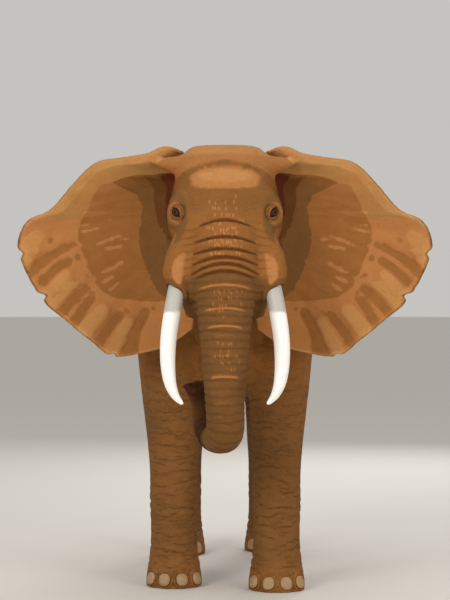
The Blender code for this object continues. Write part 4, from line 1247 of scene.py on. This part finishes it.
# pale and dark spots: turn, out
PALE_SPOTS = [(0.383, 0.73), (0.435, 0.475)]
DARK_SPOTS = [(0.497, 0.805), (0.515, 0.68), (0.555, 0.67), (0.603, 0.68), (0.650, 0.71), (0.743, 0.62),
              (0.797, 0.42)]
STREAK_HALF, PALE_HALF, DARK_HALF = 0.011, 0.017, 0.020     # half widths in metres


print("markings of an ear:", len(STREAKS), "streaks and", len(PALE_SPOTS) + len(DARK_SPOTS), "spots")

# %% Paint the ears
FIELD_REACH = 0.06      # a marking's distance is kept within this, in metres


def edge(rows, turn):
    """How far out a marking's edge lies at each turn."""
    rows = np.array(rows)
    return np.interp(turn, rows[:, 0], rows[:, 1])


def on_stroke(turn, out, start, end, half):
    """How far inside a stroke each point lies, in metres."""
    return half - stroke_distance(turn, out, start, end)


def ear_fields(turn, out):
    """For each marking, how far inside it every point lies, in metres. The material draws the edges."""
    high = EAR_SPREAD[1]
    # painted shade along the sunken folds of the rim, and a painted highlight along the raised ones
    dark = [on_stroke(turn, out, s[:2], s[2:4], s[4]) for s in EAR_STRIPES if s[5] < 0]
    dark += [on_stroke(turn, out, (t, o), (t + 0.004, o), DARK_HALF) for t, o in DARK_SPOTS]
    pale = [on_stroke(turn, out, s[:2], s[2:4], s[4]) for s in EAR_STRIPES if s[5] > 0]
    streak = [on_stroke(turn, out, s[:2], s[2:], STREAK_HALF) for s in STREAKS]
    streak += [on_stroke(turn, out, (t, o), (t + 0.004, o), PALE_HALF) for t, o in PALE_SPOTS]
    return {
        "ear_band": (out - edge(PANEL, turn)) * high,
        # painted shade in the recess by the head, deeper in its hollow, and reddish painted shade nearest the
        # head
        "ear_recess": (edge(RECESS, turn) - out) * high,
        "ear_hollow": (edge(RECESS_DARK, turn) - out) * high,
        "ear_red": (edge(RECESS_RED, turn) - out) * high,
        "ear_top": np.where(turn < 0.5, out - edge(TOP_LIGHT, turn), -1) * high,
        "ear_stripe": np.max(dark, axis=0),
        "ear_fold": np.max(pale, axis=0),
        "ear_streak": np.max(streak, axis=0),
    }


facing = -normals_of(skin)[:, 1]
# the markings end where the head begins, and on the back of the ear
fade = 2.5 * np.maximum(away - 0.012, 0) + 2 * FIELD_REACH * (1 - ease(-0.35, 0.05, facing))
fields = {name: np.clip(field, -FIELD_REACH, FIELD_REACH) - fade
          for name, field in ear_fields(ear_turn, ear_out).items()}
fields["ear_top"] -= 2 * FIELD_REACH * (1 - ease(0.02, 0.06, ear_turn))
fields = {name: np.clip(field, -FIELD_REACH, FIELD_REACH) for name, field in fields.items()}
behind = on_ear * ease(0.1, -0.2, facing)
# painted light on the underside of the ear's folded top, which faces down into shade
painted_light_under_roll = 0.75 * ease(0.35, 0.9, -normals_of(skin)[:, 2]) * ease(0.25, 0.45, ear_out)
tone += on_ear * (0.05 + painted_light_under_roll)
tone += behind * (0.10 + 0.20 * ease(0.55, 0.95, ear_out) + 0.15 * slow_noise(points, 0.25, 4))
print("markings of the ears", len(fields))

# %% [markdown]
# ## The stance
# All the modelling so far has the legs square under the body. Now every leg leans so that its foot stands
# where the solids have it, and the whole animal moves to the middle of the frame.

# %% Stand on the four feet
MIDDLE_Y = -0.51        # the animal's middle while its legs are square
STRIDE = {"fore": (-0.13, 0.07), "hind": (0.10, -0.14)}


def stance(points):
    """Points as the animal stands: each leg leans, and the middle of the animal is at y = 0."""
    points = points.copy()
    low = np.clip((2.0 - points[:, 2]) / 2.0, 0, 1)
    left = 0.5 + 0.5 * np.tanh(points[:, 0] / 0.08)
    fore = 0.5 - 0.5 * np.tanh((points[:, 1] - 0.05) / 0.25)
    behind_face = np.clip((points[:, 1] + 1.45) / 0.25, 0, 1)
    before_tail = np.clip((1.70 - points[:, 1]) / 0.06, 0, 1)
    step = (fore * (left * STRIDE["fore"][0] + (1 - left) * STRIDE["fore"][1])
            + (1 - fore) * (left * STRIDE["hind"][0] + (1 - left) * STRIDE["hind"][1]))
    points[:, 1] += step * low * behind_face * before_tail - MIDDLE_Y
    return points


painted_values = {"tone": tone, "red": red, "grey": grey, "crease": values_of("crease") * off_ear,
                  "lid_edge": values_of("lid_edge") * off_ear, "pale": values_of("pale") * off_ear,
                  "midline": midline, "limb": limb, "loose": loose, **fields}
for name, values in painted_values.items():
    if name not in skin.attributes:
        skin.attributes.new(name, "FLOAT", "POINT")
    skin.attributes[name].data.foreach_set("value", values.astype(np.float32))
set_points(skin, stance(points))
print("painted", len(painted_values), "numbers on", len(skin.vertices), "points")

# %% [markdown]
# ## Relief of the hide
# Elephant hide is thick, dry and stiff, so it breaks into creases where it bends. Long creases stand
# upright on the flanks and lie level on legs and trunk. Between them, cracks part the hide into plates two
# fingers wide, and a mosaic of small cells and a fine grain lie inside the plates. A noise bends them, so
# that they don't look cut. All sizes are metres between two lines, and four bumps in a row lay the finer on
# the coarser.

# %% Relief of the hide
FLANK_LINES = (0.22, 0.125, 0.30)       # between long creases on the flanks, along x, y and z
LIMB_LINES = (0.26, 0.26, 0.060)        # the same on legs and trunk
PLATES, CELLS, GRAIN = 0.031, 0.0105, 0.0035
BEND_SIZE, BEND = 0.09, 0.075           # size of the bends, and how far they carry a line
OPEN_SIZE = 0.16                        # size of the places where cracks lie open or closed
CRACK_WIDTH = (0.005, 0.11)             # share of a plate that a closed and an open crack take
CELL_GAP = 0.16                         # share of a cell that the gap round it takes
CREASE_DEPTH = 0.010
# depth of each finer relief in metres, and its strength
PLATE_BUMP, CELL_BUMP, GRAIN_BUMP = (0.0024, 0.55), (0.0009, 0.60), (0.0006, 0.50)

hide, tree, shader = new_material("hide")
place_of = add(tree, "TexCoord").outputs["Object"]
painted_on = {name: add(tree, "Attribute", attribute_name=name).outputs["Fac"] for name in painted_values}
bend = add(tree, "TexNoise", {"Vector": place_of, "Scale": 1 / BEND_SIZE, "Detail": 3.0, "Roughness": 0.6})
bend = add(tree, "VectorMath", {0: bend.outputs["Color"], 1: (0.5, 0.5, 0.5)}, operation="SUBTRACT")
bend = add(tree, "VectorMath", {0: bend, "Scale": BEND}, operation="SCALE")
bent = add(tree, "VectorMath", {0: place_of, 1: bend}, operation="ADD")

long_lines = []
for lines in (FLANK_LINES, LIMB_LINES):
    stretched = add(tree, "Mapping", {"Vector": bent, "Scale": tuple(1 / size for size in lines)})
    ridged = {"Vector": stretched, "Scale": 1.0, "Detail": 4.0, "Roughness": 0.62, "Lacunarity": 2.2,
              "Offset": 0.9, "Gain": 1.3}
    long_lines.append(add(tree, "TexNoise", ridged, noise_type="RIDGED_MULTIFRACTAL"))
creases = add(tree, "Mix", {"Factor": painted_on["limb"], "A": long_lines[0], "B": long_lines[1]})
creases = add(tree, "Math", {0: creases, 1: painted_on["loose"]}, operation="MULTIPLY")

# the cracks between plates are wide in some places and close in others
patches = add(tree, "TexNoise", {"Vector": place_of, "Scale": 1 / OPEN_SIZE, "Detail": 2.0})
crack_width = add(tree, "MapRange", {"Value": patches, "From Min": 0.42, "From Max": 0.66,
                                     "To Min": CRACK_WIDTH[0], "To Max": CRACK_WIDTH[1]})
plates = add(tree, "TexVoronoi", {"Vector": bent, "Scale": 1 / PLATES}, feature="DISTANCE_TO_EDGE")
plates = add(tree, "MapRange", {"Value": plates, "From Max": crack_width}, interpolation_type="SMOOTHSTEP")
cells = add(tree, "TexVoronoi", {"Vector": bent, "Scale": 1 / CELLS}, feature="DISTANCE_TO_EDGE")
cells = add(tree, "MapRange", {"Value": cells, "From Max": CELL_GAP}, interpolation_type="SMOOTHSTEP")
grain = add(tree, "TexNoise", {"Vector": place_of, "Scale": 1 / GRAIN, "Detail": 4.0, "Roughness": 0.65})

relief = add(tree, "Bump", {"Height": creases, "Distance": CREASE_DEPTH}, invert=True)
for height, (depth, strength) in ((plates, PLATE_BUMP), (cells, CELL_BUMP), (grain, GRAIN_BUMP)):
    relief = add(tree, "Bump", {"Height": height, "Distance": depth, "Strength": strength, "Normal": relief})
feed(shader, {"Normal": relief, "Roughness": 0.78, "Specular IOR Level": 0.12})    # dry hide is matt
print("relief of the hide", len(tree.nodes), "nodes")

# %% [markdown]
# ## Colour of the hide
# Dry earth and old hide are matt and reflect little, so nearly all of the look is colour. The painted tone,
# a mottle, the dashes, the painted highlights on the ridges and the ears' markings are added up to one
# number, and a ramp turns it to a colour, from the darkest hide to the palest. Grey, painted shade in creases
# and cracks, and a red painted shade are then laid over it by their shares.

# %% Colour of the hide
SHADES = [(-1.0, "#2E1A0D"), (-0.65, "#603A18"), (-0.40, "#714E29"), (-0.15, "#80552B"), (0.0, "#905E2E"),
          (0.5, "#AF7644"), (1.0, "#BB8A52"), (1.5, "#D8A468")]
# the darkest brown is painted shade for creases and cracks, the deep red a painted shade where the ear leaves
# the head
CREASE_SHADE, RED_SHADE, GREY_HIDE, LID_EDGE = "#56310F", "#552412", "#75542F", "#3B2414"
# markings of the ear: change of tone, softness of the edge in metres
# the recess and hollow are painted shade and the top a painted highlight; the stripes are painted shade in
# the sunken folds, and the folds a painted highlight on the raised ones
EAR_MARKS = {"ear_band": (0.42, 0.008), "ear_recess": (-0.40, 0.008), "ear_hollow": (-0.28, 0.007),
             "ear_top": (0.34, 0.010), "ear_stripe": (-0.42, 0.008), "ear_fold": (0.34, 0.009),
             "ear_streak": (0.45, 0.006)}
RED_EDGE = 0.006
MOTTLE_SIZE, MOTTLE = 0.11, 0.055       # size of the mottle's clouds in metres, and their change of tone
WOBBLE_SIZE, WOBBLE = 0.045, 0.008      # size of the wobble of a marking's edge, and how far it goes
DASH_SIZE = (0.019, 0.046)              # width and height of a pale dash with the space round it
DASH_TONE, RIDGE_TONE = 0.44, 0.85

clouds = {"Vector": place_of, "Scale": 1 / MOTTLE_SIZE, "Detail": 5.0, "Roughness": 0.6}
mottle = add(tree, "TexNoise", clouds)
mottle = add(tree, "MapRange", {"Value": mottle, "From Min": 0.3, "From Max": 0.7, "To Min": -MOTTLE,
                                "To Max": MOTTLE})
wobble = add(tree, "TexNoise", {"Vector": place_of, "Scale": 1 / WOBBLE_SIZE, "Detail": 3.0})
wobble = add(tree, "MapRange", {"Value": wobble, "From Min": 0.25, "From Max": 0.75, "To Min": -WOBBLE,
                                "To Max": WOBBLE})

# a dash is drawn where the random number of its cell lies under the crowd of dashes there
upright = add(tree, "Mapping", {"Vector": place_of, "Rotation": (math.radians(90), 0, 0),
                                "Scale": (1 / DASH_SIZE[0], 1, 1 / DASH_SIZE[1])})
dash = add(tree, "TexVoronoi", {"Vector": upright, "Scale": 1.0, "Randomness": 0.75}, voronoi_dimensions="2D")
off_middle = add(tree, "Math", {0: add(tree, "SeparateXYZ", {"Vector": place_of})}, operation="ABSOLUTE")
crowd = add(tree, "MapRange", {"Value": off_middle, "From Min": 0.05, "From Max": 0.16, "To Min": 1.0,
                               "To Max": 0.0})
crowd = add(tree, "Math", {0: crowd, 1: painted_on["midline"]}, operation="MULTIPLY")
drawn = add(tree, "Math", {0: crowd, 1: dash.outputs["Color"]}, operation="GREATER_THAN")
dash = add(tree, "MapRange", {"Value": dash, "From Min": 0.26, "From Max": 0.40, "To Min": DASH_TONE,
                              "To Max": 0.0})
dashes = add(tree, "Math", {0: dash, 1: drawn}, operation="MULTIPLY")
ridges = add(tree, "Math", {0: painted_on["pale"], 1: RIDGE_TONE}, operation="MULTIPLY")

tones = [painted_on["tone"], mottle, dashes, ridges]
for name, (change, soft_edge) in EAR_MARKS.items():
    inside = add(tree, "Math", {0: painted_on[name], 1: wobble}, operation="ADD")
    tones.append(add(tree, "MapRange", {"Value": inside, "From Min": -soft_edge, "From Max": soft_edge,
                                        "To Max": change}, interpolation_type="SMOOTHSTEP"))
level = tones[0]
for tone_of in tones[1:]:
    level = add(tree, "Math", {0: level, 1: tone_of}, operation="ADD")
darkest, palest = SHADES[0][0], SHADES[-1][0]
level = add(tree, "MapRange", {"Value": level, "From Min": darkest, "From Max": palest})
colour = add(tree, "ValToRGB", {"Fac": level})
set_stops(colour, [((value - darkest) / (palest - darkest), code) for value, code in SHADES])
print("colour of the hide", len(tree.nodes), "nodes")

# %% Grey, painted red shade and painted shade of cracks and creases over the colour
# the red is painted shade: in the ear's recess and on the head's side beside it
inside = add(tree, "Math", {0: painted_on["ear_red"], 1: wobble}, operation="ADD")
red_ear = add(tree, "MapRange", {"Value": inside, "From Min": -RED_EDGE, "From Max": RED_EDGE})
red_share = add(tree, "Math", {0: painted_on["red"], 1: red_ear}, operation="MAXIMUM")
shares = []
# the crease number lays painted shade in the creases
for name, most, code in (("grey", 0.55, GREY_HIDE), ("crease", 0.90, CREASE_SHADE), ("lid_edge", 0.7, LID_EDGE)):
    shares.append((add(tree, "Math", {0: painted_on[name], 1: most}, operation="MULTIPLY"), code))
shares.insert(2, (red_share, RED_SHADE))
# painted shade in cracks and creases: the relief, its value where the shade begins and where it is darkest,
# share there
CRACK_SHADES = [(plates, 1.0, 0.0, 0.08), (creases, 0.8, 1.6, 0.16), (cells, 1.0, 0.0, 0.10)]
for height, clean, full, most in CRACK_SHADES:
    shade_in_cracks = add(tree, "MapRange", {"Value": height, "From Min": clean, "From Max": full, "To Max": most})
    shares.append((shade_in_cracks, CREASE_SHADE))
for share, code in shares:
    colour = add(tree, "Mix", {"Factor": share, "A": colour, "B": code}, data_type="RGBA")
feed(shader, {"Base Color": colour})
print("hide", len(tree.nodes), "nodes")

# %% Show the skin
skin_nodes = ["torso", "neck", "head", "jaw", "trunk_root", "trunk_upper", "trunk_middle", "trunk_bend",
              "trunk_tip", "tail", "ear_left", "ear_right"]
skin_nodes += [f"{leg}_{part}_{side}" for leg in ("foreleg", "hindleg") for part in ("upper", "lower", "foot")
               for side in ("left", "right")]
bpy.data.objects.remove(flesh)
show("skin", skin, hide, "hide", *skin_nodes)

# %% [markdown]
# ## Tusks
# A tusk is one smooth tapering curve, worn to a blunt slanting point. It is grey where it leaves its sheath,
# it gets a painted shade on the side that faces the trunk, and faint lines of growth run along it. Ivory is a
# dense dentine, polished by use, so it has a soft shine, and a little light passes through its surface.

# %% Tusks
GROWTH_LINES = (60.0, 12.0, 6.0)      # streaks in a metre, along x, y and z
INNER_SHADE = 0.28                     # how dark the painted shade is on the side that faces the trunk


def standing(bm):
    """A shape moved from where it was modelled to where the animal stands."""
    for vert, place in zip(bm.verts, stance(np.array([v.co for v in bm.verts]))):
        vert.co = place
    return bm


left_tusk = loft(tube_rings(TUSK, 72, 40))
tusks = merged([left_tusk, mirrored(left_tusk)])
tusks.normal_update()
grey_root_and_shade = tusks.verts.layers.float.new("grey_root_and_shade")
for vert in tusks.verts:
    # painted shade on the side that faces the trunk, away from the tip; grey at the root
    inner = ease(-0.1, 0.5, -vert.normal.x * math.copysign(1, vert.co.x)) * ease(1.66, 1.95, vert.co.z)
    vert[grey_root_and_shade] = max(float(ease(2.135, 2.160, vert.co.z)), float(inner * INNER_SHADE))

ivory, tree, shader = new_material("ivory")
place_of = add(tree, "TexCoord").outputs["Object"]
stretched = add(tree, "Mapping", {"Vector": place_of, "Scale": GROWTH_LINES})
lines = add(tree, "TexNoise", {"Vector": stretched, "Scale": 1.0, "Detail": 4.0})
tint = add(tree, "Mix", {"Factor": lines, "A": "#EFECE6", "B": "#FAF9F7"}, data_type="RGBA")
greyed = add(tree, "Attribute", attribute_name="grey_root_and_shade").outputs["Fac"]
tint = add(tree, "Mix", {"Factor": greyed, "A": tint, "B": "#B1B1AB"}, data_type="RGBA")
scratch = add(tree, "Bump", {"Height": lines, "Distance": 0.0008, "Strength": 0.4})
feed(shader, {"Base Color": tint, "Roughness": 0.42, "Subsurface Weight": 0.08,
              "Subsurface Radius": (0.02, 0.014, 0.008), "Normal": scratch})
show("tusks", standing(tusks), ivory, "ivory", "tusk_left", "tusk_right")

# %% [markdown]
# ## Eyes
# Each eye is a ball with a slightly raised cornea. One number per point is its angle from the axis: the
# pupil, the brown iris, its dark edge and the brown white of an elephant's eye are rings of that angle. The
# cornea is clear wet tissue over the colour, which gives the whole eye one smooth and low shine.

# %% Eyes
CORNEA = 0.0022         # how far the cornea stands out of the ball
# rings of the eye: angle from its axis in radians, colour
EYE_RINGS = [(0.150, "#080503"), (0.175, "#3A2411"), (0.35, "#4A2F17"), (0.43, "#382310"), (0.50, "#2C1C10"),
             (0.80, "#352216")]

eyes = bmesh.new()
ring = eyes.verts.layers.float.new("ring")
for side in (1, -1):
    axis = Vector((EYE_AXIS.x * side, EYE_AXIS.y, EYE_AXIS.z))
    turn = axis.to_track_quat("Z", "Y").to_matrix().to_4x4()
    place = Matrix.Translation((EYE.x * side, EYE.y, EYE.z))
    ball = bmesh.ops.create_uvsphere(eyes, u_segments=64, v_segments=48, radius=EYE_RADIUS,
                                     matrix=place @ turn)
    for vert in ball["verts"]:
        angle = (vert.co - place.translation).angle(axis)
        vert.co += axis * CORNEA * math.exp(-(angle / 0.40) ** 2)
        vert[ring] = (vert.co - place.translation).angle(axis)

eye_look, tree, shader = new_material("eye")
iris = add(tree, "ValToRGB", {"Fac": add(tree, "Attribute", attribute_name="ring").outputs["Fac"]})
set_stops(iris, EYE_RINGS)
feed(shader, {"Base Color": iris, "Roughness": 0.16, "IOR": 1.20})
show("eyes", standing(eyes), eye_look, "eye", "eye_left", "eye_right")

# %% [markdown]
# ## Nails
# Four nails stand on the front of each fore foot and three on each hind foot: rounded shields, squarer than
# a ball. A nail is horn, dull and scuffed by the ground, and it grows in level ridges a few millimetres
# apart.

# %% Nails
SHIELD = 0.85                          # power that squares the ball off
HORN_LINES = (25.0, 25.0, 160.0)       # ridges in a metre, along x, y and z

nails = bmesh.new()
for feet in (FORE_NAILS, HIND_NAILS):
    for side in (1, -1):
        for bearing in feet[4]:
            nail = bmesh.ops.create_uvsphere(nails, u_segments=32, v_segments=20, radius=1)["verts"]
            for vert in nail:
                vert.co.x = math.copysign(abs(vert.co.x) ** SHIELD, vert.co.x)
                vert.co.z = math.copysign(abs(vert.co.z) ** SHIELD, vert.co.z)
            bmesh.ops.scale(nails, vec=NAIL_SIZE, verts=nail)
            bmesh.ops.transform(nails, matrix=nail_frame(feet, bearing), verts=nail)
            if side < 0:
                bmesh.ops.scale(nails, vec=(-1, 1, 1), verts=nail)
                bmesh.ops.reverse_faces(nails, faces=list({f for v in nail for f in v.link_faces}))

horn, tree, shader = new_material("nail")
place_of = add(tree, "TexCoord").outputs["Object"]
stretched = add(tree, "Mapping", {"Vector": place_of, "Scale": HORN_LINES})
ridges = add(tree, "TexNoise", {"Vector": stretched, "Scale": 1.0, "Detail": 3.0})
tint = add(tree, "Mix", {"Factor": ridges, "A": "#7A5A38", "B": "#B2936B"}, data_type="RGBA")
worn = add(tree, "Bump", {"Height": ridges, "Distance": 0.0015, "Strength": 0.6})
feed(shader, {"Base Color": tint, "Roughness": 0.6, "Normal": worn})
nail_nodes = [f"fore_nail_{side}_{n}" for side in ("left", "right") for n in (1, 2, 3, 4)]
nail_nodes += [f"hind_nail_{side}_{n}" for side in ("left", "right") for n in (1, 2, 3)]
show("nails", standing(nails), horn, "nail", *nail_nodes)

# %% [markdown]
# ## Hair
# An elephant is nearly bare, but its tail ends in a tuft of stiff black hairs as thick as wire, its eyes
# have long lashes, and sparse bristles stand on its chin, trunk and crown. Every hair is a thin closed
# body, lofted along its own path. In the map called OFBake each hair has a small patch at the place where
# its root sits on an unwrap of the skin, so that its colour can be kept. Hair is keratin, nearly black,
# with a slight gloss.

# %% Hairs as closed bodies
PATCH = 0.003           # size of a hair's patch in the map
TUFT_THICK, LASH_THICK, BRISTLE_THICK = 0.0013, 0.0007, 0.0005      # half thickness at the root, in metres


def hair(path, thick, root_at):
    """A closed three-sided hair, from its path, its thickness at the root and its root's place in the map."""
    count = len(path)
    thins = [max(thick * (1 - 0.85 * i / (count - 1)), 0.0002) for i in range(count)]
    bm = loft(tube_rings([(*p, thin, thin) for p, thin in zip(path, thins)], count, 3))
    bm.verts.index_update()
    layer = bm.loops.layers.uv.new("OFBake")
    for face in bm.faces:
        for corner in face.loops:
            step, turn = divmod(corner.vert.index, 3)
            corner[layer].uv = (root_at[0] + PATCH * turn / 2, root_at[1] + PATCH * step / (count - 1))
    return bm


def hairs(name, made, material):
    """Many hairs as one piece."""
    return show(name, merged(hair(*one) for one in made), material, "tail_hair")


hair_look, tree, shader = new_material("tail_hair")
place_of = add(tree, "TexCoord").outputs["Object"]
shade = add(tree, "TexNoise", {"Vector": place_of, "Scale": 60.0})
tint = add(tree, "Mix", {"Factor": shade, "A": "#120B07", "B": "#3A2415"}, data_type="RGBA")
feed(shader, {"Base Color": tint, "Roughness": 0.45})
rng = np.random.default_rng(7)
print("hair", len(tree.nodes), "nodes")

# %% Tuft of the tail
# the tuft's envelope: x, y, z, half width, half depth
TUFT = [
    (0.034, 1.821, 1.3446, 0.031, 0.034),
    (0.036, 1.820, 1.27, 0.036, 0.048),
    (0.038, 1.818, 1.15, 0.037, 0.060),
    (0.040, 1.815, 1.03, 0.030, 0.052),
    (0.041, 1.812, 0.93, 0.012, 0.020),
]
TUFT_HAIRS, TUFT_TOP, TUFT_LENGTH = 900, 1.345, 0.42
TUFT_FILL = 0.92        # how much of the envelope the hairs fill

tuft_rows = smooth_rows(TUFT, 40)
tail_hairs = []
for _ in range(TUFT_HAIRS):
    angle, share = rng.uniform(0, 2 * math.pi), math.sqrt(rng.uniform(0.15, 1.0))
    start, end = rng.integers(0, 3), rng.integers(26, 40)
    bow = rng.normal(0, 0.05, 2)
    path = []
    for x, y, z, wide, deep in tuft_rows[np.linspace(start, end, 8).astype(int)]:
        fall = (TUFT_TOP - z) / TUFT_LENGTH
        path.append((x + wide * (share * math.cos(angle) + bow[0] * fall) * TUFT_FILL,
                     y + deep * (share * math.sin(angle) + bow[1] * fall) * TUFT_FILL, z))
    # some roots sit higher, on the tail itself
    rise = min(abs(rng.normal(0, 0.09)), 0.26)
    share = 1.0 if rise > 0.03 else share
    top = [(0.034 + 0.031 * share * math.cos(angle), 1.822 + 0.034 * share * math.sin(angle), 1.36 + rise * k)
           for k in (1.0, 0.5)]
    root_at = (0.02 + 0.94 * angle / 2 / math.pi, 0.02 + 0.94 * share)
    tail_hairs.append((stance(np.array(top + path[1:])), TUFT_THICK, root_at))
tuft = hairs("tail_hair", tail_hairs, hair_look)
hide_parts("tail_tuft")

# %% Lashes
LASHES = 56             # on each upper lid
LASH_LENGTH = (0.035, 0.055)

lashes = []
for side in (1, -1):
    for _ in range(LASHES):
        along = rng.uniform(-0.95, 0.95) * OPENING[0]
        over = OPENING[1] * (1 - abs(along / OPENING[0]) ** 2.2) + rng.uniform(0.001, 0.004)
        ahead = math.sqrt(max((EYE_RADIUS + LID) ** 2 - along ** 2 - over ** 2, 0))
        foot = EYE_AXIS * ahead + EYE_LONG * along + EYE_SHORT * over * LASH_SIDE
        long = rng.uniform(*LASH_LENGTH)
        out = (EYE_AXIS + EYE_LONG * rng.normal(0, 0.15) + EYE_SHORT * LASH_SIDE * 0.2).normalized()
        path = [EYE + foot + out * long * t + Vector((0, 0, -0.45 * long * t * t))
                for t in np.linspace(0, 1, 6)]
        path = [Vector((p.x * side, p.y, p.z)) for p in path]
        root_at = (0.02 + (0.25 + 0.24 * along / OPENING[0]) + (0.5 if side < 0 else 0), 0.5 + 8 * over)
        lashes.append((stance(np.array(path)), LASH_THICK, root_at))
hairs("lashes", lashes, hair_look)

# %% Bristles
# where bristles grow: name, centre, reach, how many, length, how far they lie down
BRISTLES = [
    ("chin", (0.0, -1.72, 2.02), (0.30, 0.25, 0.16), 260, 0.045, 0.3),
    ("trunk_front", (0.0, -2.30, 2.05), (0.22, 0.30, 0.45), 320, 0.030, 0.5),
    ("trunk_tip", (0.0, -2.15, 1.35), (0.30, 0.35, 0.18), 220, 0.028, 0.5),
    ("crown", (0.0, -1.75, 3.20), (0.36, 0.20, 0.16), 260, 0.035, 0.8),
    ("ear_rim", (0.95, -1.55, 3.10), (0.50, 0.30, 0.30), 160, 0.030, 0.6),
]
BARE_ABOVE = 3.31       # no bristles grow higher than this

centres = np.empty(len(skin.polygons) * 3)
skin.polygons.foreach_get("center", centres)
centres = centres.reshape(-1, 3) + np.array((0, MIDDLE_Y, 0))
facings = np.empty(len(skin.polygons) * 3, dtype=np.float32)
skin.polygon_normals.foreach_get("vector", facings)
facings = facings.reshape(-1, 3)
bristles = []
for name, centre, reach, count, long, lie in BRISTLES:
    inside = np.abs((np.abs(centres * (1, 0, 0)) + centres * (0, 1, 1) - centre) / reach).max(axis=1) < 1
    inside &= centres[:, 2] < BARE_ABOVE
    down = Vector((0, 1, 0)) if name == "crown" else Vector((0, 0.25, -1))
    for i in rng.choice(np.flatnonzero(inside), count, replace=False):
        normal, root = Vector(facings[i]), Vector(centres[i])
        out = (normal * (1 - lie) + (down - normal * down.dot(normal)) * lie).normalized()
        size = long * rng.uniform(0.5, 1.0)
        path = [root + out * size * t - normal * 0.002 + down * 0.15 * size * t * t
                for t in np.linspace(0, 1, 5)]
        root_at = (0.5 + 0.47 * math.atan2(root.x, -root.y - 1.0) / math.pi, (root.z - 1.0) / 2.5)
        bristles.append((np.array(path) - np.array((0, MIDDLE_Y, 0)), BRISTLE_THICK, root_at))
hairs("bristles", bristles, hair_look)

# %% [markdown]
# ## Floor, light and camera
# The model stands on a plain pale floor under broad soft lights, with a pale room round it. The camera
# looks straight at the face from a little over two metres up, through a long lens.

# %% Floor
bm = bmesh.new()
bmesh.ops.create_grid(bm, x_segments=1, y_segments=1, size=240)
floor_mesh = bpy.data.meshes.new("floor")
bm.to_mesh(floor_mesh)
bm.free()
floor = bpy.data.objects.new("floor", floor_mesh)
bpy.context.scene.collection.objects.link(floor)
paint, tree, shader = new_material("floor")
feed(shader, {"Base Color": "#D9D6D0", "Roughness": 0.9})
floor_mesh.materials.append(paint)
print("floor", round(floor.dimensions.x), "m wide")

# %% Lights and camera
# name, place, size in metres, power in watts, colour
LIGHTS = [
    ("key", (-7.0, -13.0, 7.0), 7.0, 1080, "#FFF8F0"),
    ("fill", (9.0, -12.0, 5.0), 8.0, 720, "#FFF6EC"),
    ("top", (0.0, 1.5, 11.0), 9.0, 180, "#FFFFFF"),
    ("back", (3.0, 12.0, 7.0), 6.0, 420, "#FFFFFF"),
]
LIT = Vector((0, -0.8, 1.9))                 # the lights point here
LENS_PLACE = (0.0, -15.59, 2.234)
LENS, SENSOR = 116.2, 36.0                   # millimetres

world = bpy.data.worlds.new("room")
world.use_nodes = True
feed(world.node_tree.nodes["Background"], {"Color": "#E4E2DE", "Strength": 0.72})
bpy.context.scene.world = world
for name, place, size, power, code in LIGHTS:
    lamp = bpy.data.lights.new(name, "AREA")
    lamp.shape, lamp.size, lamp.energy = "DISK", size, power
    lamp.color = linear(code)[:3]
    hung = bpy.data.objects.new(name, lamp)
    hung.location = place
    hung.rotation_euler = (LIT - Vector(place)).to_track_quat("-Z", "Y").to_euler()
    bpy.context.scene.collection.objects.link(hung)

camera = bpy.data.objects.new("camera", bpy.data.cameras.new("camera"))
camera.data.lens, camera.data.sensor_width, camera.data.clip_end = LENS, SENSOR, 500
camera.location = LENS_PLACE
camera.rotation_euler = (math.radians(90), 0, 0)
bpy.context.scene.collection.objects.link(camera)
bpy.context.scene.camera = camera
bpy.context.scene.view_settings.view_transform = "Standard"
print(len(LIGHTS), "lights, and a lens of", LENS, "mm")
